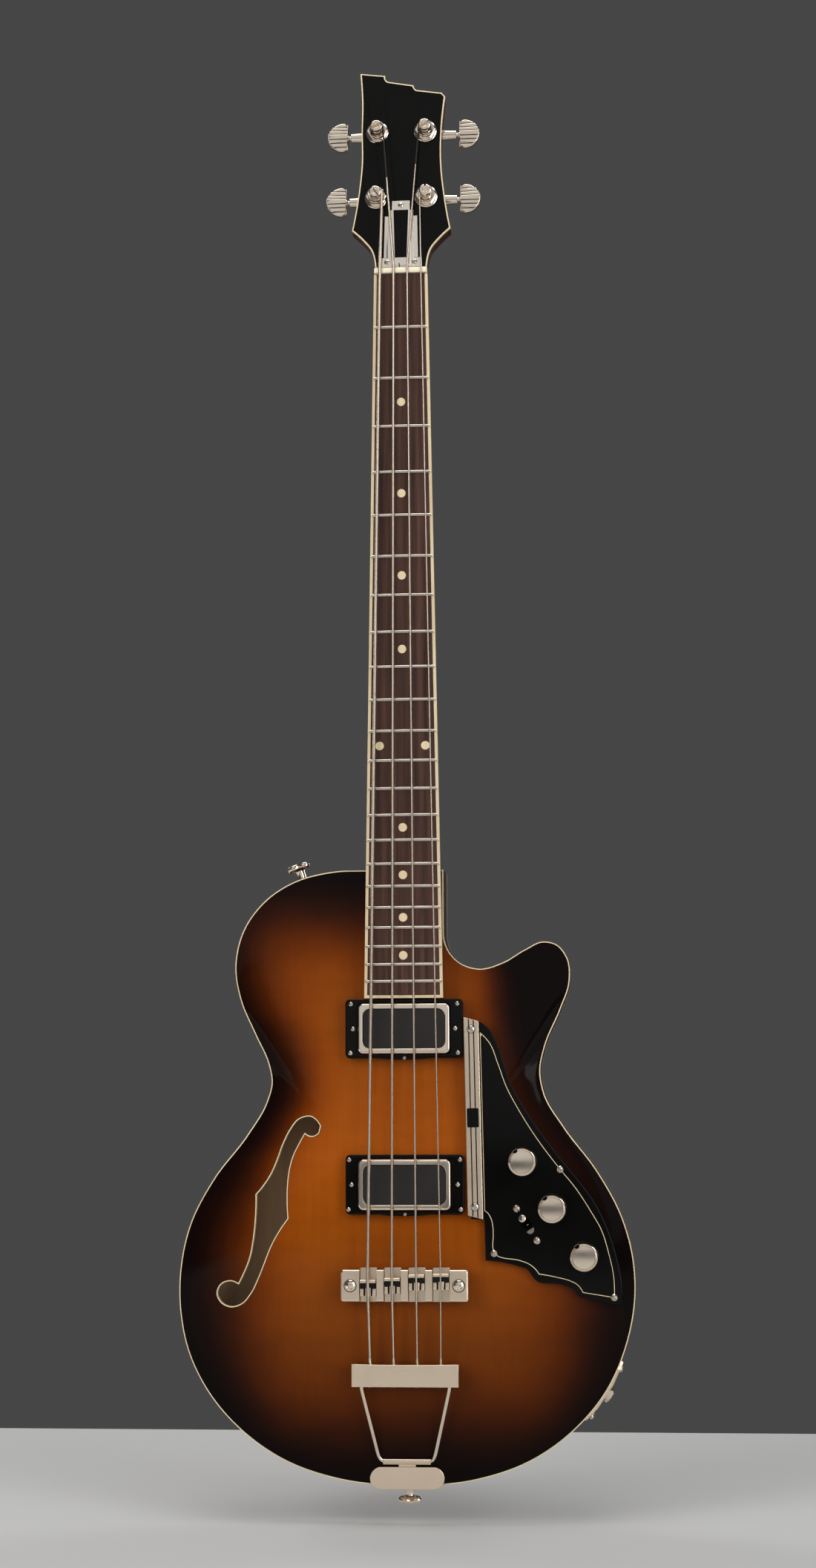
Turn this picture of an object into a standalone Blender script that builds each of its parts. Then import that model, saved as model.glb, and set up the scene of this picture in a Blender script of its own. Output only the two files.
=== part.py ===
# Semi-hollow bass guitar with a single cutaway, built up from its separate pieces.
# Lengths are in metres. X runs across the strings towards the treble side, Y from the front of the
# instrument to its back, and Z up along the neck. The origin is on the centre line at the nut's
# front edge, level with the crown of the fingerboard.

import math

import bmesh
import bpy
import numpy as np
from mathutils import Matrix, Vector

# Fits
CLEARANCE = 0.0003
SEAT_GAP = 0.00035
RUNNING_GAP = 0.0004
SLIDING_GAP = 0.0006

# Strings, listed from the low string to the high one
SCALE_LENGTH = 0.7747
FRET_COUNT = 22
STRING_NAMES = ("e", "a", "d", "g")
STRING_DIAMETERS = (0.0025, 0.0020, 0.0016, 0.0012)
NUT_SPREAD = 0.0323
BRIDGE_SPREAD = 0.0548
NUT_ACTION = 0.0018
BRIDGE_ACTION = 0.0047
INTONATION = (0.0077, 0.0061, 0.0036, 0.0030)

# Neck and fingerboard
NUT_WIDTH = 0.0422
BOARD_END_WIDTH = 0.0603
BOARD_LENGTH = 0.5700
BOARD_THICKNESS = 0.0062
BOARD_RADIUS = 0.305
BOARD_BINDING = 0.0022
FRET_HEIGHT = 0.0011
FRET_WIDTH = 0.0024
NECK_DEPTH_AT_NUT = 0.0150
NECK_DEPTH_AT_HEEL = 0.0172
HEEL_LENGTH = 0.0420
HEEL_DEPTH = 0.0500
NUT_LENGTH = 0.0050
NUT_RISE = 0.0021
TENON_WIDTH = 0.0380
TENON_SHARE = 0.603
TENON_BACK_Y = 0.0450
TRUSS_ROD_WIDTH = 0.0056
TRUSS_ROD_DEPTH = 0.0085

# Headstock, drawn in the plane of its face
HEAD_TILT = math.radians(5.0)
HEAD_FACE_Y = 0.0035
HEAD_THICKNESS = 0.0150
VENEER_THICKNESS = 0.0020
HEAD_BINDING = 0.0013
HEAD_LOWER_HALF = 0.03925
HEAD_WAIST_HALF = 0.0318
HEAD_TOP_HALF = 0.0350
HEAD_LENGTH = 0.1738
HEAD_STEP = 0.0052
HEAD_START = 0.0056
TUNER_PLACES = {"e": (-0.0199, 0.0657), "a": (-0.0192, 0.1217), "d": (0.0192, 0.1217), "g": (0.0199, 0.0657)}
BUSHING_RADIUS = 0.0062
VENEER_SLOT = (0.0080, 0.0300)

# Body
SHOULDER_Z = -0.4705
BODY_LENGTH = 0.4655
LOWER_BOUT_WIDTH = 0.3480
WAIST_WIDTH = 0.2068
UPPER_BOUT_WIDTH = 0.2648
HORN_REACH = 0.1262
HEEL_SIDE_X = 0.0295
BODY_CENTRE_SHARE = 0.5790
TOP_EDGE_Y = 0.0200
BODY_DEPTH = 0.0440
TOP_THICKNESS = 0.0045
BACK_THICKNESS = 0.0040
TOP_ARCH = 0.0090
BACK_ARCH = 0.0070
RIM_THICKNESS = 0.0030
LINING_WIDTH = 0.0060
LINING_DEPTH = 0.0130
BODY_BINDING = 0.0020
BLOCK_WIDTH = 0.0880

# Fineness of the outlines: the longest chord and the most turn between two points
OUTLINE_CHORD = 0.040
OUTLINE_TURN = math.radians(19)
TOP_RINGS = (1.0, 0.89, 0.74, 0.50, 0.12)
BACK_RINGS = (1.0, 0.86, 0.62, 0.18)
ARCH_SMOOTHING = math.radians(40)

FRONT = Matrix.Rotation(math.pi / 2, 4, "X")


# Scene and collections
for old in list(bpy.data.objects):
    bpy.data.objects.remove(old, do_unlink=True)

parts = bpy.data.collections.new("semi_hollow_bass_guitar")
cutters = bpy.data.collections.new("cutters")
bpy.context.scene.collection.children.link(parts)
bpy.context.scene.collection.children.link(cutters)


def material(name, colour, roughness, metallic=0.0):
    made = bpy.data.materials.new(name)
    made.use_nodes = True
    shader = made.node_tree.nodes["Principled BSDF"]
    shader.inputs["Base Color"].default_value = (*colour, 1.0)
    shader.inputs["Roughness"].default_value = roughness
    shader.inputs["Metallic"].default_value = metallic
    return made


# Outlines
def smooth_run(points, per_span=24):
    """A cubic through the points. Each tangent leans towards the slope of its shorter chord."""
    points = np.array(points, float)
    if len(points) == 2:
        return points[0] + (points[1] - points[0]) * np.linspace(0, 1, 9)[:, None]
    steps = np.diff(points, axis=0)
    chords = np.linalg.norm(steps, axis=1)[:, None]
    slopes = steps / chords
    tangents = np.empty_like(points)
    tangents[1:-1] = (slopes[:-1] * chords[1:] + slopes[1:] * chords[:-1]) / (chords[:-1] + chords[1:])
    tangents[0] = 2 * slopes[0] - tangents[1]
    tangents[-1] = 2 * slopes[-1] - tangents[-2]
    t = np.linspace(0, 1, per_span, endpoint=False)[:, None]
    spans = [
        points[i] * (1 + 2 * t) * (1 - t) ** 2
        + points[i + 1] * t**2 * (3 - 2 * t)
        + chords[i] * (tangents[i] * t * (1 - t) ** 2 - tangents[i + 1] * t**2 * (1 - t))
        for i in range(len(steps))
    ]
    return np.concatenate([*spans, points[-1:]])


def thinned(curve, chord, turn):
    """Points along a dense curve, closer together where it bends."""
    steps = np.diff(curve, axis=0)
    lengths = np.linalg.norm(steps, axis=1)
    headings = np.unwrap(np.arctan2(steps[:, 1], steps[:, 0]))
    bends = np.abs(np.diff(headings))
    weight = lengths / chord
    weight[1:] += bends / (2 * turn)
    weight[:-1] += bends / (2 * turn)
    travelled = np.concatenate([[0.0], np.cumsum(weight)])
    count = max(1, math.ceil(travelled[-1] - 0.2))
    wanted = np.linspace(0, travelled[-1], count + 1)
    return np.stack([np.interp(wanted, travelled, curve[:, axis]) for axis in (0, 1)], axis=1)


def loop_of(runs, chord=OUTLINE_CHORD, turn=OUTLINE_TURN):
    """A closed loop, anticlockwise seen from the front, of smooth runs that meet at corners."""
    pieces = [thinned(smooth_run(run), chord, turn)[:-1] for run in runs]
    loop = np.concatenate(pieces)
    return loop if signed_area(loop) > 0 else loop[::-1]


def signed_area(loop):
    following = np.roll(loop, -1, axis=0)
    return 0.5 * np.sum(loop[:, 0] * following[:, 1] - loop[:, 1] * following[:, 0])


def inset(loop, distance):
    """The loop moved inwards by a distance, with mitred corners."""
    ahead = np.roll(loop, -1, axis=0) - loop
    ahead /= np.linalg.norm(ahead, axis=1)[:, None]
    inward = np.stack([-ahead[:, 1], ahead[:, 0]], axis=1)
    before = np.roll(inward, 1, axis=0)
    spread = 1 + np.sum(inward * before, axis=1)
    return loop + (inward + before) * (distance / np.maximum(spread, 0.2))[:, None]


def rounded_box_loop(width, height, radius, steps=4, centre=(0.0, 0.0)):
    """A rectangle with round corners, anticlockwise from its lower right corner."""
    corners = ((1, -1, -90), (1, 1, 0), (-1, 1, 90), (-1, -1, 180))
    loop = []
    for side, top, start in corners:
        for step in range(steps + 1):
            angle = math.radians(start + 90 * step / steps)
            loop.append(
                (
                    centre[0] + side * (width / 2 - radius) + radius * math.cos(angle),
                    centre[1] + top * (height / 2 - radius) + radius * math.sin(angle),
                )
            )
    return np.array(loop)


def circle_loop(radius, centre=(0.0, 0.0), steps=12):
    angles = np.arange(steps) * 2 * math.pi / steps
    return np.stack([centre[0] + radius * np.cos(angles), centre[1] + radius * np.sin(angles)], axis=1)


# Solids
def finish(obj, name, surface, collection=None):
    obj.name = name
    for owner in list(obj.users_collection):
        owner.objects.unlink(obj)
    (collection or parts).objects.link(obj)
    if surface is not None:
        obj.data.materials.clear()
        obj.data.materials.append(surface)
    return obj


def object_of(mesh, name, surface, frame=None, collection=None):
    obj = bpy.data.objects.new(name, mesh)
    (collection or parts).objects.link(obj)
    if surface is not None:
        mesh.materials.append(surface)
    if frame is not None:
        obj.matrix_world = frame
    return obj


def loft(name, rings, surface, closed=False, frame=None, collection=None):
    """A solid through rings of equal length. It has flat ends, or closes on its first ring."""
    rings = np.array(rings, float)
    count, size = rings.shape[:2]
    mesh = bpy.data.meshes.new(name)
    work = bmesh.new()
    corners = [[work.verts.new(point) for point in ring] for ring in rings]
    for i in range(count if closed else count - 1):
        for j in range(size):
            k = (j + 1) % size
            following = corners[(i + 1) % count]
            work.faces.new((corners[i][j], corners[i][k], following[k], following[j]))
    if not closed:
        work.faces.new(corners[0])
        work.faces.new(corners[-1])
    bmesh.ops.recalc_face_normals(work, faces=work.faces)
    work.to_mesh(mesh)
    work.free()
    return object_of(mesh, name, surface, frame, collection)


def meshed(obj):
    """The object with its modifiers applied and loose caps welded, as a plain mesh."""
    bpy.context.view_layer.update()
    evaluated = obj.evaluated_get(bpy.context.evaluated_depsgraph_get())
    mesh = bpy.data.meshes.new_from_object(evaluated)
    work = bmesh.new()
    work.from_mesh(mesh)
    bmesh.ops.remove_doubles(work, verts=work.verts, dist=0.000002)
    work.to_mesh(mesh)
    work.free()
    made = bpy.data.objects.new(obj.name, mesh)
    for owner in obj.users_collection:
        owner.objects.link(made)
    made.matrix_world = obj.matrix_world.copy()
    name = obj.name
    bpy.data.objects.remove(obj, do_unlink=True)
    made.name = name
    return made


def plate(name, loop, thickness, surface, frame=None, collection=None, edge=0.0, holes=()):
    """A flat outline from a filled 2D curve. Its back lies on the frame's plane and it rises forward."""
    curve = bpy.data.curves.new(name, "CURVE")
    curve.dimensions = "2D"
    curve.fill_mode = "BOTH"
    curve.extrude = thickness / 2
    for outline in (loop, *holes):
        spline = curve.splines.new("POLY")
        spline.points.add(len(outline) - 1)
        for point, (x, y) in zip(spline.points, outline):
            point.co = (x, y, 0.0, 1.0)
        spline.use_cyclic_u = True
    flat = bpy.data.objects.new(name, curve)
    (collection or parts).objects.link(flat)
    if surface is not None:
        curve.materials.append(surface)
    flat.matrix_world = (frame or Matrix()) @ Matrix.Translation((0, 0, thickness / 2))
    made = meshed(flat)
    made.data.transform(Matrix.Translation((0, 0, thickness / 2)))
    made.matrix_world = frame or Matrix()
    if edge:
        bevelled(made, edge)
    return made


def bevelled(obj, width, segments=1):
    bevel = obj.modifiers.new("rounded_edges", "BEVEL")
    bevel.width = width
    bevel.segments = segments
    bevel.limit_method = "ANGLE"
    bevel.angle_limit = math.radians(40)
    bevel.use_clamp_overlap = True
    return obj


def turned(name, profile, surface, frame=None, steps=16, collection=None):
    """A profile of (radius, height) turned about the frame's Z axis, listed from its top down."""
    mesh = bpy.data.meshes.new(name)
    mesh.from_pydata(
        [(radius, 0.0, height) for radius, height in profile],
        [(i, i + 1) for i in range(len(profile) - 1)],
        [],
    )
    obj = object_of(mesh, name, surface, frame, collection)
    screw = obj.modifiers.new("turn", "SCREW")
    screw.axis = "Z"
    screw.steps = steps
    screw.render_steps = steps
    screw.use_merge_vertices = True
    screw.merge_threshold = 0.00001
    screw.use_smooth_shade = False
    return meshed(obj)


def block(name, size, surface, frame=None, collection=None, edge=0.0):
    """A box centred on its frame."""
    bpy.ops.mesh.primitive_cube_add(size=1)
    obj = finish(bpy.context.object, name, surface, collection)
    obj.data.transform(Matrix.Diagonal((*size, 1.0)))
    obj.matrix_world = frame or Matrix()
    if edge:
        bevelled(obj, edge)
    return obj


def rod(name, radius, depth, surface, frame=None, collection=None, sides=16):
    """A cylinder centred on its frame, along the frame's Z axis."""
    bpy.ops.mesh.primitive_cylinder_add(radius=radius, depth=depth, vertices=sides)
    obj = finish(bpy.context.object, name, surface, collection)
    obj.matrix_world = frame or Matrix()
    return obj


def wire(name, points, radius, surface, resolution=2, collection=None):
    """A round wire along a chain of points."""
    curve = bpy.data.curves.new(name, "CURVE")
    curve.dimensions = "3D"
    curve.bevel_depth = radius
    curve.bevel_resolution = resolution
    curve.use_fill_caps = True
    spline = curve.splines.new("POLY")
    spline.points.add(len(points) - 1)
    for point, place in zip(spline.points, points):
        point.co = (*place, 1.0)
    obj = bpy.data.objects.new(name, curve)
    (collection or parts).objects.link(obj)
    if surface is not None:
        curve.materials.append(surface)
    return meshed(obj)


def combine(obj, other, operation):
    """One Boolean step, with the second object kept among the cutters."""
    for owner in list(other.users_collection):
        owner.objects.unlink(other)
    cutters.objects.link(other)
    other.hide_render = True
    other.display_type = "WIRE"
    step = obj.modifiers.new(f"{operation.lower()}_{other.name}", "BOOLEAN")
    step.operation = operation
    step.solver = "EXACT"
    step.object = other
    return obj


def cut(obj, *others):
    for other in others:
        combine(obj, other, "DIFFERENCE")
    return obj


def join(obj, *others):
    for other in others:
        combine(obj, other, "UNION")
    return obj


def smooth(obj, angle=40):
    """Smooth shading that keeps the sharp edges sharp."""
    made = meshed(obj)
    made.data.shade_smooth()
    made.data.set_sharp_from_angle(angle=math.radians(angle))
    return made


def at_front(x, y, z):
    """A frame at a place on the instrument, with its Z axis facing forward and Y up the neck."""
    return Matrix.Translation((x, y, z)) @ FRONT


def place(loop, y):
    """A loop of (x, z) set in the plane, or on the heights, that y gives."""
    heights = np.broadcast_to(y, len(loop))
    return np.stack([loop[:, 0], heights, loop[:, 1]], axis=1)


# Materials
maple = material("flamed_maple", (0.42, 0.10, 0.03), 0.25)
top_finish = material("sunburst_top", (0.52, 0.16, 0.035), 0.18)
inner_wood = material("inner_wood", (0.55, 0.38, 0.22), 0.8)
neck_wood = material("neck_wood", (0.16, 0.035, 0.015), 0.25)
rosewood = material("rosewood", (0.11, 0.045, 0.028), 0.5)
cream = material("cream_plastic", (0.80, 0.68, 0.48), 0.35)
bone = material("bone", (0.86, 0.80, 0.66), 0.4)
black_gloss = material("black_gloss", (0.012, 0.011, 0.011), 0.12)
black_plastic = material("black_plastic", (0.02, 0.02, 0.02), 0.35)
nickel = material("nickel", (0.72, 0.66, 0.58), 0.22, 1.0)
steel = material("steel", (0.55, 0.55, 0.56), 0.3, 1.0)
wound_steel = material("wound_steel", (0.62, 0.60, 0.57), 0.35, 1.0)


# Body outline: shares of the half width of the bout that each point belongs to, and of the length
LOWER = LOWER_BOUT_WIDTH / 2
WAIST = WAIST_WIDTH / 2
UPPER = UPPER_BOUT_WIDTH / 2


def body_point(half, across, along):
    return (half * across, SHOULDER_Z - BODY_LENGTH * along)


def body_run(rows):
    return [body_point(*row) for row in rows]


BODY_RUNS = (
    body_run(((HEEL_SIDE_X, 1.0, 0.0), (UPPER, -0.36, 0.0))),
    body_run(
        (
            (UPPER, -0.36, 0.0000),
            (UPPER, -0.47, 0.0035),
            (UPPER, -0.65, 0.0175),
            (UPPER, -0.82, 0.0480),
            (UPPER, -0.95, 0.0970),
            (UPPER, -1.00, 0.1610),
            (UPPER, -0.967, 0.2150),
            (UPPER, -0.88, 0.2720),
            (WAIST, -1.027, 0.3210),
            (WAIST, -1.004, 0.3510),
            (WAIST, -1.040, 0.3820),
            (WAIST, -1.181, 0.4350),
            (LOWER, -0.853, 0.5080),
            (LOWER, -0.955, 0.5800),
            (LOWER, -1.002, 0.6650),
            (LOWER, -1.000, 0.7200),
            (LOWER, -0.960, 0.7900),
            (LOWER, -0.866, 0.8570),
            (LOWER, -0.730, 0.9130),
            (LOWER, -0.544, 0.9600),
            (LOWER, -0.299, 0.9905),
            (LOWER, 0.000, 1.0000),
            (LOWER, 0.299, 0.9900),
            (LOWER, 0.543, 0.9580),
            (LOWER, 0.727, 0.9090),
            (LOWER, 0.862, 0.8500),
            (LOWER, 0.956, 0.7720),
            (LOWER, 0.994, 0.6970),
            (LOWER, 0.987, 0.6350),
            (LOWER, 0.939, 0.5680),
            (LOWER, 0.836, 0.4960),
            (WAIST, 1.165, 0.4240),
            (WAIST, 1.025, 0.3710),
            (WAIST, 0.996, 0.3340),
            (HORN_REACH, 0.850, 0.2900),
            (HORN_REACH, 0.939, 0.2350),
            (HORN_REACH, 1.000, 0.1860),
            (HORN_REACH, 0.987, 0.1480),
            (HORN_REACH, 0.923, 0.1260),
            (HORN_REACH, 0.840, 0.1210),
            (HORN_REACH, 0.729, 0.1340),
            (HORN_REACH, 0.594, 0.1550),
            (HORN_REACH, 0.452, 0.1650),
            (HORN_REACH, 0.333, 0.1550),
            (HORN_REACH, 0.262, 0.1340),
            (HEEL_SIDE_X, 1.0, 0.1040),
        )
    ),
    body_run(((HEEL_SIDE_X, 1.0, 0.1040), (HEEL_SIDE_X, 1.0, 0.0))),
)

body_loop = loop_of(BODY_RUNS)
body_centre = np.array(body_point(0.0, 0.0, BODY_CENTRE_SHARE))
plate_loop = inset(body_loop, BODY_BINDING + CLEARANCE)
BACK_EDGE_Y = TOP_EDGE_Y + BODY_DEPTH
BODY_END_Z = SHOULDER_Z - BODY_LENGTH


def rise(share):
    """How much of the arch is reached at a share of the way from the centre to the edge."""
    return (1 - share**4) ** 1.5


def edge_radii(loop, angles, centre):
    """The distance from a place to a loop around it, in each of several directions."""
    starts = loop - centre
    sides = np.roll(starts, -1, axis=0) - starts
    radii = []
    for angle in angles:
        ray = np.array([math.cos(angle), math.sin(angle)])
        turn = ray[0] * sides[:, 1] - ray[1] * sides[:, 0]
        turn = np.where(np.abs(turn) < 1e-12, 1e-12, turn)
        along_ray = (starts[:, 0] * sides[:, 1] - starts[:, 1] * sides[:, 0]) / turn
        along_side = (starts[:, 0] * ray[1] - starts[:, 1] * ray[0]) / turn
        hits = along_ray[(along_ray > 0) & (along_side >= -1e-9) & (along_side <= 1 + 1e-9)]
        radii.append(hits.min())
    return np.array(radii)


ARCH_ANGLES = np.arange(360) * 2 * math.pi / 360
plate_radii = edge_radii(plate_loop, ARCH_ANGLES, body_centre)
spread = np.angle(np.exp(1j * (ARCH_ANGLES[:, None] - ARCH_ANGLES[None, :])))
weights = np.exp(-0.5 * (spread / ARCH_SMOOTHING) ** 2)
soft_radii = weights @ plate_radii / weights.sum(axis=1)


def arch_radius(share, angles, edge=None):
    """A ring's radii: the edge's own at share 1, and ever smoother towards the middle."""
    angles = np.mod(angles, 2 * math.pi)
    soft = np.interp(angles, ARCH_ANGLES, soft_radii, period=2 * math.pi)
    edge = np.interp(angles, ARCH_ANGLES, plate_radii, period=2 * math.pi) if edge is None else edge
    return share * (edge * share**2 + soft * (1 - share**2))


def share_of_edge(x, z):
    """How far a place lies from the body's centre, as a share of the way to the plate's edge."""
    from_centre = np.array([x, z]) - body_centre
    radius = np.hypot(*from_centre)
    angle = math.atan2(from_centre[1], from_centre[0])
    low, high = 0.0, 1.0
    for _ in range(24):
        middle = (low + high) / 2
        if arch_radius(middle, angle) < radius:
            low = middle
        else:
            high = middle
    return low


def top_y(x, z):
    """The height of the top's outer surface."""
    return TOP_EDGE_Y - TOP_ARCH * rise(share_of_edge(x, z))


def highest_top(places):
    """The front-most height of the top under a set of (x, z) places."""
    return min(top_y(x, z) for x, z in places)


def deepest_top(places):
    return max(top_y(x, z) for x, z in places)


def arched_rings(edge, edge_y, arch, shares):
    """Rings from the edge to the middle of an arched face. A negative arch rises to the front."""
    from_centre = edge - body_centre
    radii = np.hypot(from_centre[:, 0], from_centre[:, 1])
    angles = np.arctan2(from_centre[:, 1], from_centre[:, 0])
    rings = []
    for share in shares:
        reach = arch_radius(share, angles, radii) / radii
        rings.append(place(body_centre + from_centre * reach[:, None], edge_y + arch * rise(share)))
    return rings


def arched_slab(name, edge, front, back, surface, collection=None):
    """A solid between two arched faces, each given as (edge height, arch, ring shares)."""
    rings = arched_rings(edge, *front)[::-1] + arched_rings(edge, *back)
    return loft(name, rings, surface, collection=collection)


def top_clearance(name):
    """Everything from just in front of the top backwards, for cutting what sits on it."""
    wide = inset(plate_loop, -2 * BODY_BINDING)
    front = TOP_EDGE_Y - SEAT_GAP
    rings = arched_rings(plate_loop, front, -TOP_ARCH, TOP_RINGS)[::-1]
    rings += [place(wide, front), place(wide, BACK_EDGE_Y)]
    return loft(name, rings, None, collection=cutters)


def body_shell():
    """The two arched plates, the bent rim with its linings, and both bindings."""
    top = arched_slab(
        "body_top",
        plate_loop,
        (TOP_EDGE_Y, -TOP_ARCH, TOP_RINGS),
        (TOP_EDGE_Y + TOP_THICKNESS, -TOP_ARCH, TOP_RINGS),
        top_finish,
    )
    back = arched_slab(
        "body_back",
        plate_loop,
        (BACK_EDGE_Y - BACK_THICKNESS, BACK_ARCH, BACK_RINGS),
        (BACK_EDGE_Y, BACK_ARCH, BACK_RINGS),
        maple,
    )
    front_y = TOP_EDGE_Y + TOP_THICKNESS + CLEARANCE
    back_y = BACK_EDGE_Y - BACK_THICKNESS - CLEARANCE
    lining = RIM_THICKNESS + LINING_WIDTH
    profile = (
        (0.0, front_y),
        (lining, front_y),
        (RIM_THICKNESS, front_y + LINING_DEPTH),
        (RIM_THICKNESS, back_y - LINING_DEPTH),
        (lining, back_y),
        (0.0, back_y),
    )
    rim = loft(
        "body_rim", [place(inset(body_loop, depth), y) for depth, y in profile], maple, closed=True
    )
    bindings = [
        loft(
            name,
            [
                place(inset(body_loop, depth), y)
                for depth, y in ((0, low), (BODY_BINDING, low), (BODY_BINDING, high), (0, high))
            ],
            cream,
            closed=True,
        )
        for name, low, high in (
            ("top_binding", TOP_EDGE_Y, TOP_EDGE_Y + TOP_THICKNESS),
            ("back_binding", BACK_EDGE_Y - BACK_THICKNESS, BACK_EDGE_Y),
        )
    ]
    return top, back, rim, *bindings


def back_y(x, z):
    """The height of the back's outer surface."""
    return BACK_EDGE_Y + BACK_ARCH * rise(share_of_edge(x, z))


def centre_block():
    """The solid block that joins top and back under the strings, shaped to both arches."""
    end_gap = RIM_THICKNESS + LINING_WIDTH + SEAT_GAP
    first = SHOULDER_Z - end_gap
    last = SHOULDER_Z - BODY_LENGTH * 0.988 + end_gap
    horn_side = HEEL_SIDE_X - end_gap
    horn_end = SHOULDER_Z - BODY_LENGTH * 0.19
    stations = [(first, horn_side), (horn_end, horn_side)]
    stations += [(z, BLOCK_WIDTH / 2) for z in np.linspace(horn_end - 0.012, last, 9)]
    margin = SEAT_GAP + 0.0010
    rings = []
    for z, right in stations:
        places = [(x, z) for x in (-BLOCK_WIDTH / 2, 0.0, right)]
        front = [(x, top_y(x, z) + TOP_THICKNESS + margin, z) for x, z in places]
        rear = [(x, back_y(x, z) - BACK_THICKNESS - margin, z) for x, z in places[::-1]]
        rings.append(front + rear)
    return loft("centre_block", rings, inner_wood)


top, back, rim, top_binding = body_shell()[:4]
block_core = centre_block()


# Strings, nut and fingerboard
def fret_z(number):
    return -SCALE_LENGTH * (1 - 2 ** (-number / 12))


def camber(x):
    """How far the fingerboard's face falls back at a distance from the centre line."""
    return BOARD_RADIUS - math.sqrt(BOARD_RADIUS**2 - x**2)


def board_half(z):
    return (NUT_WIDTH + (BOARD_END_WIDTH - NUT_WIDTH) * min(1.0, max(0.0, -z / BOARD_LENGTH))) / 2


def string_x(index, z):
    """Where a string runs between the nut and the bridge, and a little past both."""
    spread = NUT_SPREAD + (BRIDGE_SPREAD - NUT_SPREAD) * -z / SCALE_LENGTH
    return spread * (index / 3 - 0.5)


def string_y(index, z):
    """The height of a string's centre between the nut and the bridge."""
    action = NUT_ACTION + (BRIDGE_ACTION - NUT_ACTION) * -z / SCALE_LENGTH
    return camber(string_x(index, z)) - action - STRING_DIAMETERS[index] / 2


def saddle_z(index):
    return -SCALE_LENGTH - INTONATION[index]


def fingerboard():
    """One loft along the neck that swells into a fret wire at each fret."""
    crown = FRET_WIDTH * 0.22
    stations = [(-CLEARANCE, 0.0)]
    for number in range(1, FRET_COUNT + 1):
        z = fret_z(number)
        stations += [
            (z + FRET_WIDTH / 2, 0.0),
            (z + crown, FRET_HEIGHT),
            (z - crown, FRET_HEIGHT),
            (z - FRET_WIDTH / 2, 0.0),
        ]
    stations.append((BOARD_BINDING + CLEARANCE - BOARD_LENGTH, 0.0))
    rings = []
    for z, lift in stations:
        half = board_half(z) - BOARD_BINDING - CLEARANCE
        face = [(half * share, camber(half * share) - lift, z) for share in (-1, -0.5, 0, 0.5, 1)]
        rings.append([*face, (half, BOARD_THICKNESS, z), (-half, BOARD_THICKNESS, z)])
    return loft("fingerboard", rings, rosewood)


def fingerboard_binding():
    """A strip down both sides and across the end of the fingerboard."""
    start = -CLEARANCE
    outer = [
        (-board_half(0), start),
        (-board_half(-BOARD_LENGTH), -BOARD_LENGTH),
        (board_half(-BOARD_LENGTH), -BOARD_LENGTH),
        (board_half(0), start),
    ]
    end = BOARD_BINDING - BOARD_LENGTH
    inner = [
        (board_half(0) - BOARD_BINDING, start),
        (board_half(end) - BOARD_BINDING, end),
        (BOARD_BINDING - board_half(end), end),
        (BOARD_BINDING - board_half(0), start),
    ]
    rows = [
        [(x, camber(x), z) for x, z in side] + [(x, BOARD_THICKNESS, z) for x, z in side[::-1]]
        for side in ((outer[i], inner[3 - i]) for i in range(4))
    ]
    return loft("fingerboard_binding", rows, cream)


def nut():
    """The nut, its crown following the fingerboard, with a slot for each string."""
    half = board_half(0) - CLEARANCE
    rings = []
    for z, fall in ((CLEARANCE, 0.0), (NUT_LENGTH, 0.0006)):
        face = [
            (half * share, camber(half * share) - NUT_RISE + fall, z)
            for share in (-1, -0.6, -0.2, 0.2, 0.6, 1)
        ]
        rings.append([*face, (half, BOARD_THICKNESS, z), (-half, BOARD_THICKNESS, z)])
    made = loft("nut", rings, bone)
    for index, diameter in enumerate(STRING_DIAMETERS):
        radius = diameter / 2 + CLEARANCE
        frame = Matrix.Translation((string_x(index, 0), string_y(index, 0), NUT_LENGTH / 2))
        slot = rod(f"nut_slot_{index}", radius, NUT_LENGTH * 3, None, frame, cutters, sides=10)
        cut(made, slot)
    return made


fingerboard()
fingerboard_binding()
nut()


# Neck with its headstock, drawn in the plane of the face where x runs across and v up it
HEAD_FRAME = Matrix.Translation((0, HEAD_FACE_Y, 0)) @ Matrix.Rotation(math.pi / 2 - HEAD_TILT, 4, "X")


def on_head(x, v, forward=0.0):
    """A frame on the headstock's face, with its Z axis out of the face."""
    return HEAD_FRAME @ Matrix.Translation((x, v, forward))


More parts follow.
